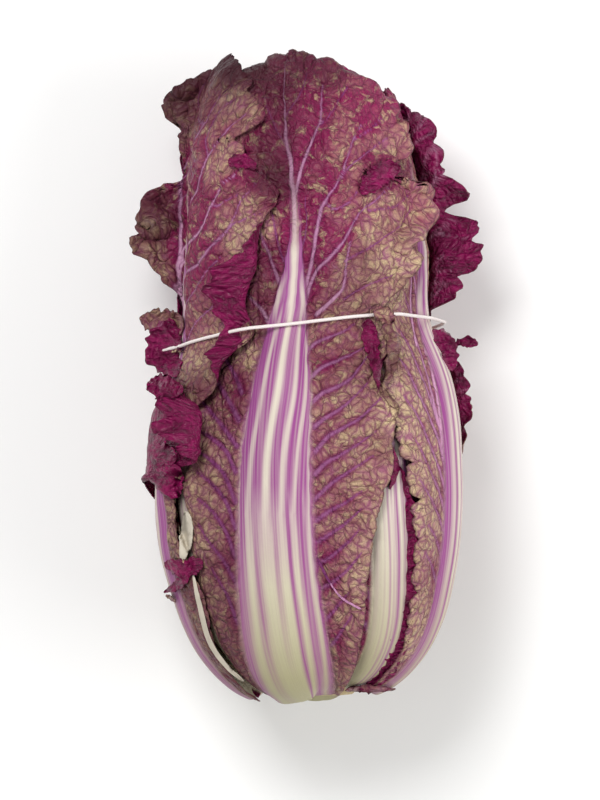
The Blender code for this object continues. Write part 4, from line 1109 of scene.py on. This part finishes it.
def leaf_relief_tree():
    """Raises veins, swells the areoles between them and crumples the free margins."""
    tree, given = new_shape_tree(
        "leaf_relief",
        {"Vein height": 0.0006, "Pucker height": 0.0013, "Blister height": 0.001, "Blister size": 0.007,
         "Crumple height": 0.003, "Crumple size": 0.013, "Seed": 1},
    )
    flat = add(tree, "GeometryNodeInputNamedAttribute", {"Name": "flat"}, data_type="FLOAT_VECTOR")
    rise, soft, free, puff = (
        add(tree, "GeometryNodeInputNamedAttribute", {"Name": name}, data_type="FLOAT")
        for name in ("rise", "soft", "free", "puff")
    )
    per_cell, per_fold = (
        add(tree, "ShaderNodeMath", (1.0, given[name]), operation="DIVIDE")
        for name in ("Blister size", "Crumple size")
    )
    cell = add(tree, "ShaderNodeTexVoronoi", {"Vector": net_place(tree, flat), "Scale": per_cell}, **CELLS)
    swell = add(tree, "ShaderNodeMapRange", (cell, 0.0, 0.4, 0.0, 1.0), **SMOOTH)
    for gain in (soft, given["Blister height"]):
        swell = add(tree, "ShaderNodeMath", (swell, gain), operation="MULTIPLY")
    for part, gain in ((puff, "Pucker height"), (rise, "Vein height")):
        swell = add(tree, "ShaderNodeMath", (part, given[gain], swell), operation="MULTIPLY_ADD")
    normal = add(tree, "GeometryNodeInputNormal")
    outward = add(tree, "ShaderNodeVectorMath", {0: normal, "Scale": swell}, operation="SCALE")
    shift = add(tree, "ShaderNodeMath", (given["Seed"], 7.31), operation="MULTIPLY")
    shift = add(tree, "ShaderNodeCombineXYZ", {2: shift})
    fold_spot = add(tree, "ShaderNodeVectorMath", {0: flat, "Scale": per_fold}, operation="SCALE")
    fold_spot = add(tree, "ShaderNodeVectorMath", (fold_spot, shift), operation="ADD")
    fold = add(tree, "ShaderNodeTexNoise", {"Vector": fold_spot, "Scale": 1.0, "Detail": 1.5}, out="Color")
    fold = add(tree, "ShaderNodeVectorMath", (fold, (0.5, 0.5, 0.5)), operation="SUBTRACT")
    amount = free
    for gain in (given["Crumple height"], 2.0):
        amount = add(tree, "ShaderNodeMath", (amount, gain), operation="MULTIPLY")
    fold = add(tree, "ShaderNodeVectorMath", {0: fold, "Scale": amount}, operation="SCALE")
    offset = add(tree, "ShaderNodeVectorMath", (outward, fold), operation="ADD")
    moved = add(tree, "GeometryNodeSetPosition", {"Geometry": given["Geometry"], "Offset": offset})
    return end_shape_tree(tree, moved, given)


def elastic_cord_tree():
    """A cord of round section along a closed path, with places for its weave."""
    tree, given = new_shape_tree("elastic_cord", {"Diameter": 0.0016, "Points": 700, "Weave length": 0.0011})
    path = add(
        tree, "GeometryNodeResampleCurve", {"Curve": given["Geometry"], "Count": given["Points"]}
    )
    half = add(tree, "ShaderNodeMath", (given["Diameter"], 0.5), operation="MULTIPLY")
    section = add(tree, "GeometryNodeCurvePrimitiveCircle", {"Resolution": 14, "Radius": half})
    path, section = (
        add(
            tree, "GeometryNodeStoreNamedAttribute",
            {"Geometry": curve, "Name": name, "Value": add(tree, "GeometryNodeSplineParameter", out=measure)},
            data_type="FLOAT",
        )
        for curve, name, measure in ((path, "along", "Length"), (section, "round", "Factor"))
    )
    tube = add(tree, "GeometryNodeCurveToMesh", {"Curve": path, "Profile Curve": section})
    along, around = (
        add(tree, "GeometryNodeInputNamedAttribute", {"Name": name}, data_type="FLOAT")
        for name in ("along", "round")
    )
    lengths = add(tree, "ShaderNodeMath", (along, given["Weave length"]), operation="DIVIDE")
    turns = add(tree, "ShaderNodeMath", (around, 4.0), operation="MULTIPLY")
    weave = add(tree, "ShaderNodeCombineXYZ", (lengths, turns))
    tube = add(
        tree, "GeometryNodeStoreNamedAttribute", {"Geometry": tube, "Name": "weave", "Value": weave},
        data_type="FLOAT_VECTOR",
    )
    return end_shape_tree(tree, tube, given)


def put(name, data):
    """A new object in the scene."""
    made = bpy.data.objects.new(name, data)
    bpy.context.scene.collection.objects.link(made)
    return made


def mesh_of(bm, name):
    """Ends a bmesh as a new mesh."""
    mesh = bpy.data.meshes.new(name)
    bm.to_mesh(mesh)
    bm.free()
    return mesh


def plain_piece(obj, name):
    """Turns an object with modifiers into a plain mesh of its own and removes the first one."""
    bpy.context.view_layer.update()
    graph = bpy.context.evaluated_depsgraph_get()
    seen = obj.evaluated_get(graph)
    mesh = bpy.data.meshes.new_from_object(seen, preserve_all_data_layers=True, depsgraph=graph)
    mesh.name = name
    bpy.data.objects.remove(obj)
    mesh.shade_smooth()
    return put(name, mesh)


def dress(piece, node):
    """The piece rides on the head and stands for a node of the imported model."""
    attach(piece, "root")
    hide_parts(node)


def shared(name, maker):
    """A material or node tree that is made once."""
    for store in (bpy.data.materials, bpy.data.node_groups):
        if name in store:
            return store[name]
    return maker()


def closed_piece(bm, node, skin):
    """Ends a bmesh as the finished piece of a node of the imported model."""
    bmesh.ops.recalc_face_normals(bm, faces=bm.faces)
    mesh = mesh_of(bm, node + "_fine")
    mesh.shade_smooth()
    mesh.materials.append(skin)
    dress(put(mesh.name, mesh), node)


def vertex_places(mesh):
    """Places of a mesh's vertices."""
    places = np.zeros(3 * len(mesh.vertices))
    mesh.vertices.foreach_get("co", places)
    return places.reshape(-1, 3)


def store(mesh, values):
    """Writes rows of values, or one value for all, as attributes of a mesh's vertices."""
    for name, value in values.items():
        value = np.asarray(value, np.float32)
        if value.ndim == 2:
            mesh.attributes.new(name, "FLOAT_VECTOR", "POINT").data.foreach_set("vector", value.ravel())
        else:
            value = np.full(len(mesh.vertices), value)
            mesh.attributes.new(name, "FLOAT", "POINT").data.foreach_set("value", value)


def skinned_sheet(mesh):
    """An object of an open mesh, with the outer and the inner skin."""
    mesh.materials.append(shared("napa_leaf_outer_skin", leaf_outer_material))
    mesh.materials.append(shared("napa_leaf_inner_skin", leaf_inner_material))
    return put(mesh.name, mesh)


def shelled(sheet, name, **settings):
    """Gives a sheet its thickness and makes it a plain mesh."""
    shell = sheet.modifiers.new("shell", "SOLIDIFY")
    for key, value in settings.items():
        setattr(shell, key, value)
    return plain_piece(sheet, name)


def make_bit(number, tops, face, lift, flush, dark, vein, line):
    """A small piece of leaf that lies over the finished leaves along a line in the front view."""
    line = np.reshape(line, (-1, 3))
    long, wide = BIT_GRID[0] * len(line), BIT_GRID[1]
    line = through(np.column_stack([np.arange(len(line)), line]), np.linspace(0, len(line) - 1, long + 1))
    is_rib = vein > 1
    spine, half = line[:, :2], line[:, 2]
    ahead = np.gradient(spine, axis=0)
    ahead /= np.linalg.norm(ahead, axis=1)[:, None]
    sideways = np.column_stack([-ahead[:, 1], ahead[:, 0]])
    a = np.linspace(1, -1, wide + 1)
    # Blunt ends, and margins that are more ragged on a blade than on a rib
    blunt = np.sqrt(np.clip(1.003 - np.linspace(-1, 1, long + 1) ** 10, 0, 1))
    along = np.arange(long + 1) * 0.5
    waves = [wander(along, 6, seed + number)[:, None] for seed in (500, 600)]
    ragged = 1 + (0.05 if is_rib else 0.2) * np.where(a > 0, *waves)
    half = (half * blunt)[:, None] * ragged
    xh = spine[:, None, :] + sideways[:, None, :] * (a * half)[..., None]
    xy = xh - np.array([0, MIDDLE_Y])
    # It rests on the highest of the leaves below it
    low, high = xy.min(axis=(0, 1)) - 6, xy.max(axis=(0, 1)) + 6
    near = tops[((tops[:, :2] >= low) & (tops[:, :2] <= high)).all(axis=1)]
    near = near[near[:, 2] > near[:, 2].max() - BIT_HOLD]
    far = np.hypot(xy[..., None, 0] - near[:, 0], xy[..., None, 1] - near[:, 1])
    felt = far < BIT_FEEL
    highest = np.where(felt, near[:, 2], -np.inf).max(axis=-1)
    z = np.where(felt.any(axis=-1), highest, near[np.argmin(far, axis=-1), 2])
    for _ in range(BIT_SMOOTHING):
        padded = np.pad(z, 1, mode="edge")
        around = padded[:-2, 1:-1] + padded[2:, 1:-1] + padded[1:-1, :-2] + padded[1:-1, 2:]
        z = np.maximum(z, around / 4)
    curl = np.abs(a) * wander(xh[..., 0] + xh[..., 1], 7, 700 + number) * np.minimum(half, 3)
    z = z + lift + (0 if is_rib else 0.5) * curl
    corners = np.arange((long + 1) * (wide + 1)).reshape(long + 1, wide + 1)
    faces = np.dstack([corners[:-1, :-1], corners[1:, :-1], corners[1:, 1:], corners[:-1, 1:]]).reshape(-1, 4)
    mesh = bpy.data.meshes.new("bit")
    mesh.from_pydata((np.dstack([xy, z]).reshape(-1, 3) * MM).tolist(), [], faces.tolist())
    if sum(polygon.normal.z for polygon in mesh.polygons) < 0:
        mesh.flip_normals()
    # Its own stretch of the skins' patterns, away from those of the leaves
    spots = xh.reshape(-1, 2) * MM + 3.1 + 0.1 * number
    has_vein = vein >= 0
    store(mesh, {
        "flat": np.column_stack([spots, np.zeros(len(spots))]),
        "flush": flush, "dark": dark, "vein": has_vein, "pale": max(vein, 0), "rib": is_rib,
        "edge": ((1 - np.abs(a)) * half).ravel() * MM + has_vein,
    })
    sheet = skinned_sheet(mesh)
    mesh.polygons.foreach_set("material_index", [face] * len(mesh.polygons))
    return shelled(
        sheet, f"torn_bit_{number}", thickness=BIT_THICKNESS * MM, offset=-1, material_offset=1 - 2 * face
    )


def make_fine_leaf(leaf, number, frills):
    """One leaf: a fine grid laid on the stack, with veins, relief and its thickness."""
    name = leaf["name"]
    columns, rows = leaf["grid"]
    bm = bmesh.new()
    bmesh.ops.create_grid(bm, x_segments=columns, y_segments=rows, size=1)
    s, t = np.array([v.co[:2] for v in bm.verts]).T
    made = fine_points(leaf, number, frills, s, (t + 1) / 2)
    angle, way, lift, thickness, across, half, to_edge, free = made
    mesh = mesh_of(bm, name + "_sheet")
    mesh.vertices.foreach_set("co", place(angle, way, lift).ravel())
    outer = place(angle, way, lift + thickness)
    veins = [
        (wide, narrow, paleness, seen_to_flat(outer, across, way, free, np.reshape(path, (-1, 2))))
        for wide, narrow, paleness, *path in VEINS.get(name, ())
    ]
    flats = np.column_stack([across, way])
    vein, rise, pale, beside, puff = vein_fields(flats, veins or rule_veins(leaf, number))
    u = across / half
    rib = np.clip((RIB_EDGE - np.abs(u)) / 0.14, 0, 1) * np.clip((half - RIB_ENDS) / 2.2, 0, 1)
    blade = 1 - rib
    flush, dark = tint_fields(outer)
    # Painted shade: the darkness on one side of these blades
    for (tinted, side), (more_flush, more_dark) in SIDE_TINTS.items():
        if tinted == name:
            start = 1.05 * half if more_flush == INNER_FLUSH else 0
            flush = np.where(across * side > start, more_flush, flush)
            dark = np.where(across * side > 0, more_dark, dark)
    inland = np.clip(to_edge / 6, 0, 1)
    upper = np.clip((way - CRUMPLED_FROM) / 60, 0, 1) * inland
    spots = np.column_stack([across * MM + 0.7 * number, way * MM, np.zeros(len(way))])
    store(mesh, {
        "flat": spots, "rib": rib, "stripe": stripe_field(name, u, way, half), "vein": vein * blade,
        "rise": rise * blade, "pale": pale, "flush": flush, "dark": dark * blade, "beside": beside * blade,
        "edge": np.maximum(to_edge, 0) * MM, "free": np.maximum(free, 0.3 * upper),
        "soft": blade * (1 - 0.7 * vein) * np.clip(to_edge / 2 + 0.3, 0, 1),
        "puff": blade * puff * np.clip((way - 20) / 60, 0, 1) * inland,
    })
    sheet = skinned_sheet(mesh)
    group = sheet.vertex_groups.new(name="thickness")
    thickest = float(thickness.max())
    for i, value in enumerate(thickness):
        group.add([i], float(value) / thickest, "REPLACE")
    relief = sheet.modifiers.new("relief", "NODES")
    relief.node_group = shared("leaf_relief", leaf_relief_tree)
    for label, value in {
        "Vein height": frills.vein_height / MM, "Pucker height": frills.pucker_height,
        "Blister height": frills.blister_height, "Blister size": frills.blister_size,
        "Crumple height": frills.crumple_height, "Seed": number, "Material": mesh.materials[0],
    }.items():
        relief[input_key(relief.node_group, label)] = value
    piece = shelled(
        sheet, name + "_fine", thickness=thickest * MM, offset=1, vertex_group="thickness", material_offset=1
    )
    mesh = piece.data
    places = vertex_places(mesh)
    places[:, 2] = np.maximum(places[:, 2], 0)
    mesh.vertices.foreach_set("co", places.ravel())
    show_inner_skin(mesh)
    return piece


def show_inner_skin(mesh):
    """Gives the blades that are flushed all over the inner skin on both faces."""
    flushes = np.zeros(len(mesh.vertices), np.float32)
    mesh.attributes["flush"].data.foreach_get("value", flushes)
    starts, skins = np.zeros((2, len(mesh.polygons)), np.int32)
    mesh.polygons.foreach_get("loop_start", starts)
    mesh.polygons.foreach_get("material_index", skins)
    corners = np.zeros(len(mesh.loops), np.int32)
    mesh.loops.foreach_get("vertex_index", corners)
    mesh.polygons.foreach_set("material_index", np.where(flushes[corners[starts]] > INNER_FROM, 1, skins))


def cord_path():
    """Middle of the cord in metres: pulled tight round the leaves that it crosses."""
    angle = np.arange(BAND_POINTS) * 2 * math.pi / BAND_POINTS
    way = band_way(angle)
    near = [(turn, shift) for turn in (-0.05, 0, 0.05) for shift in (-5, 0, 5)]
    under = np.max([read_field(STACK, angle + turn, way + shift) for turn, shift in near], axis=0)
    at, half, lift = FLAP
    from_flap = (angle - at + math.pi) % (2 * math.pi) - math.pi
    points = place(angle, way, under + BAND_HALF + BAND_GAP + lift * np.exp(-((from_flap / half) ** 2)))
    middle = points.mean(axis=0)
    for _ in range(PULL_ROUNDS):
        between = (np.roll(points, 1, axis=0) + np.roll(points, -1, axis=0)) / 2
        far = np.hypot(*(between - middle)[:, ::2].T) > np.hypot(*(points - middle)[:, ::2].T)
        points[far] = between[far]
    return points


LENGTH = {"min": 0, "unit": "LENGTH", "precision": 5}


class CabbageLeafSizes(bpy.types.PropertyGroup):
    """Sizes of the leaves' fine shapes."""

    cut_depth: FloatProperty(
        name="Cut depth", description="How deep the clefts in a leaf's margin are", default=3.2 * MM, **LENGTH
    )
    ruffle: FloatProperty(
        name="Ruffle", description="How far a margin's small waves stand out", default=1.6 * MM, **LENGTH
    )
    vein_height: FloatProperty(
        name="Vein height", description="Height of a side vein that is 2 mm wide",
        default=0.00035 * MM, min=0, unit="LENGTH", precision=7,
    )
    pucker_height: FloatProperty(
        name="Pucker height", description="How far the skin stands out between the side veins",
        default=1.2 * MM, **LENGTH,
    )
    blister_height: FloatProperty(
        name="Blister height", description="How far the skin swells between the veins",
        default=0.4 * MM, **LENGTH,
    )
    blister_size: FloatProperty(
        name="Blister size", description="Distance from one swelling to the next",
        default=1 / NET_SCALE, min=1 * MM, unit="LENGTH", precision=5,
    )
    crumple_height: FloatProperty(
        name="Crumple height", description="How much the free margins are crumpled",
        default=4.5 * MM, **LENGTH,
    )


class CabbageCordSizes(bpy.types.PropertyGroup):
    """Sizes of the elastic cord."""

    diameter: FloatProperty(
        name="Diameter", description="Thickness of the cord",
        default=1.7 * MM, min=0.5 * MM, unit="LENGTH", precision=5,
    )
    weave_length: FloatProperty(
        name="Weave length", description="Distance along the cord from one thread to the next",
        default=1.1 * MM, min=0.2 * MM, unit="LENGTH", precision=5,
    )


class CabbageStageSizes(bpy.types.PropertyGroup):
    """Sizes of the stage and its lights."""

    camera_distance: FloatProperty(
        name="Camera distance", description="Height of the camera over the middle of the head",
        default=4.0, min=0.5, unit="LENGTH",
    )
    frame_height: FloatProperty(
        name="Frame height", description="Length of the image's long side at the head",
        default=0.404, min=0.1, unit="LENGTH", precision=4,
    )
    light: FloatProperty(
        name="Light", description="Strength of the large soft lamp over the head, in watts",
        default=25.0, min=0,
    )


class CABBAGE_OT_leaves(bpy.types.Operator):
    """Make the nine leaves, from the innermost outwards"""

    bl_idname = "cabbage.leaves"
    bl_label = "Leaves"

    def execute(self, context):
        for number, leaf in enumerate(LEAVES):
            dress(make_fine_leaf(leaf, number, context.scene.cabbage_leaf), leaf["name"])
        return {"FINISHED"}


class CABBAGE_OT_bits(bpy.types.Operator):
    """Make the torn bits and small lobes that lie over the leaves"""

    bl_idname = "cabbage.bits"
    bl_label = "Torn bits"

    def execute(self, context):
        names = [leaf["name"] + "_fine" for leaf in LEAVES] + ["elastic_band_fine"]
        tops = np.vstack([vertex_places(bpy.data.objects[name].data) for name in names]) / MM
        for number, (node, face, lift, flush, dark, vein, *line) in enumerate(BITS):
            dress(make_bit(number, tops, face, lift, flush, dark, vein, line), node)
        return {"FINISHED"}


class CABBAGE_OT_heart(bpy.types.Operator):
    """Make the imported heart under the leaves"""

    bl_idname = "cabbage.heart"
    bl_label = "Heart"

    def execute(self, context):
        bm = bmesh.new()
        bmesh.ops.create_uvsphere(bm, u_segments=HEART_GRID[0], v_segments=HEART_GRID[1], radius=1)
        points = np.array([v.co[:] for v in bm.verts])
        angle = np.arctan2(points[:, 0], points[:, 1])
        share = 1 - np.arccos(np.clip(points[:, 2], -1, 1)) / math.pi
        way = share * FULL_WAY
        upper = np.clip((way - HEART_TOP[0]) / HEART_TOP[1], 0, 1)
        # Folds and crumpled leaf tips, which run out at the very top
        crumple = 12 * (1 + np.sin(5 * angle + way / 12))
        crumple = crumple + 8 * (1 + wander(angle * 30 + way * 0.4, 14, 8))
        crumple = crumple + 9 * (1 + wander(way + 6 * np.sin(3 * angle), 9, 9))
        lift = -HEART_DEPTH - HEART_SINK * upper**2 * (3 - 2 * upper) - upper * (1 - share) * crumple
        foot = np.array([MIDDLE_LINE[0][1], OUTLINE[0][1] + 3 - MIDDLE_Y, AXIS_HEIGHT]) * MM
        for vert, point, up in zip(bm.verts, place(angle, way, lift), share):
            vert.co = point if up > 0.01 else foot
        closed_piece(bm, "heart", shared("napa_heart_skin", heart_material))
        return {"FINISHED"}


class CABBAGE_OT_stem(bpy.types.Operator):
    """Make the cut stem with its bevelled rim"""

    bl_idname = "cabbage.stem"
    bl_label = "Stem"

    def execute(self, context):
        bm = bmesh.new()
        turns = np.arange(STEM_TURNS) * 2 * math.pi / STEM_TURNS
        wobble = 1 + 0.012 * np.sin(5 * turns) + 0.008 * np.sin(11 * turns + 1)
        rings = []
        for radius, height in STEM_PROFILE:
            x, z = radius * wobble * np.cos(turns), radius * wobble * np.sin(turns) * FLATTENING
            places = [(a, height, b) for a, b in zip(x, z)] if radius else [(0, height, 0)]
            rings.append([bm.verts.new(spot) for spot in places])
        for low, high in zip(rings, rings[1:]):
            for k in range(STEM_TURNS):
                a, b = k % len(low), (k + 1) % len(low)
                c, d = (k + 1) % len(high), k % len(high)
                bm.faces.new(dict.fromkeys((low[a], low[b], high[c], high[d])))
        bmesh.ops.translate(bm, vec=(MIDDLE_LINE[0][1], STEM_CUT - MIDDLE_Y, AXIS_HEIGHT), verts=bm.verts)
        bmesh.ops.scale(bm, vec=(MM, MM, MM), verts=bm.verts)
        closed_piece(bm, "stem", shared("napa_stem_cut_flesh", stem_material))
        return {"FINISHED"}


class CABBAGE_OT_cord(bpy.types.Operator):
    """Make the elastic cord round the leaves"""

    bl_idname = "cabbage.cord"
    bl_label = "Elastic cord"

    def execute(self, context):
        sizes = context.scene.cabbage_cord
        curve = bpy.data.curves.new("cord_path", "CURVE")
        curve.dimensions = "3D"
        spline = curve.splines.new("POLY")
        path = cord_path()
        spline.points.add(len(path) - 1)
        for point, co in zip(spline.points, path):
            point.co = (*co, 1)
        spline.use_cyclic_u = True
        obj = put("cord_path", curve)
        tree = shared("elastic_cord", elastic_cord_tree)
        tube = obj.modifiers.new("cord", "NODES")
        tube.node_group = tree
        tube[input_key(tree, "Diameter")] = sizes.diameter
        tube[input_key(tree, "Weave length")] = sizes.weave_length
        tube[input_key(tree, "Material")] = shared("woven_elastic_cord", cord_material)
        dress(plain_piece(obj, "elastic_band_fine"), "elastic_band")
        return {"FINISHED"}


class CABBAGE_OT_stage(bpy.types.Operator):
    """Make the pale floor, the soft lights and the camera over the head"""

    bl_idname = "cabbage.stage"
    bl_label = "Stage"

    def execute(self, context):
        scene, sizes = context.scene, context.scene.cabbage_stage
        bm = bmesh.new()
        bmesh.ops.create_grid(bm, x_segments=1, y_segments=1, size=6)
        mesh = mesh_of(bm, "floor")
        material, tree, shader = new_material("matt_white_table")
        fill(tree, shader, {"Base Color": COLOURS["floor"], "Roughness": 0.9})
        mesh.materials.append(material)
        floor = put("floor", mesh)
        floor.location.z = -FLOOR_DROP * MM
        world = bpy.data.worlds.new("soft_room")
        world.use_nodes = True
        tree = world.node_tree
        fill(tree, tree.nodes["Background"], {"Color": (1, 1, 1, 1), "Strength": ROOM_LIGHT})
        scene.world = world
        for name, spot, size, share in LAMPS:
            lamp = bpy.data.lights.new(name, "AREA")
            lamp.size = size
            lamp.energy = sizes.light * share
            obj = put(name, lamp)
            obj.location = spot
            obj.rotation_euler = look_along(np.array(LAMP_AIM) - spot)
        camera = bpy.data.cameras.new("front_view")
        camera.sensor_width = SENSOR
        camera.lens = SENSOR * sizes.camera_distance / sizes.frame_height
        camera.clip_end = 50
        obj = put("front_view", camera)
        obj.location = np.array(CAMERA_AIM) * MM + (0, 0, sizes.camera_distance)
        scene.camera = obj
        scene.view_settings.view_transform = "Standard"
        return {"FINISHED"}


def look_along(direction):
    """The turn of a lamp or camera that looks along a direction."""
    x, y, z = direction / np.linalg.norm(direction)
    return (math.acos(-z), 0, math.atan2(-x, y))


class CABBAGE_PT_panel(bpy.types.Panel):
    """The cabbage's sizes and the pieces that it is made of"""

    bl_idname = "CABBAGE_PT_panel"
    bl_label = "Red napa cabbage"
    bl_space_type = "VIEW_3D"
    bl_region_type = "UI"
    bl_category = "Cabbage"

    def draw(self, context):
        for group in (context.scene.cabbage_leaf, context.scene.cabbage_cord, context.scene.cabbage_stage):
            box = self.layout.box()
            for name in group.bl_rna.properties.keys():
                if name not in ("rna_type", "name"):
                    box.prop(group, name)
        for operator in OPERATORS:
            self.layout.operator(operator.bl_idname)


OPERATORS = (
    CABBAGE_OT_leaves, CABBAGE_OT_heart, CABBAGE_OT_stem, CABBAGE_OT_cord, CABBAGE_OT_bits, CABBAGE_OT_stage,
)
CLASSES = (CabbageLeafSizes, CabbageCordSizes, CabbageStageSizes, *OPERATORS, CABBAGE_PT_panel)


def register():
    for made in CLASSES:
        bpy.utils.register_class(made)
    bpy.types.Scene.cabbage_leaf = PointerProperty(type=CabbageLeafSizes)
    bpy.types.Scene.cabbage_cord = PointerProperty(type=CabbageCordSizes)
    bpy.types.Scene.cabbage_stage = PointerProperty(type=CabbageStageSizes)


def unregister():
    del bpy.types.Scene.cabbage_leaf, bpy.types.Scene.cabbage_cord, bpy.types.Scene.cabbage_stage
    for made in reversed(CLASSES):
        bpy.utils.unregister_class(made)


def main():
    register()
    bpy.ops.cabbage.leaves()
    bpy.ops.cabbage.heart()
    bpy.ops.cabbage.stem()
    bpy.ops.cabbage.cord()
    bpy.ops.cabbage.bits()
    bpy.ops.cabbage.stage()


if __name__ == "__main__":
    main()
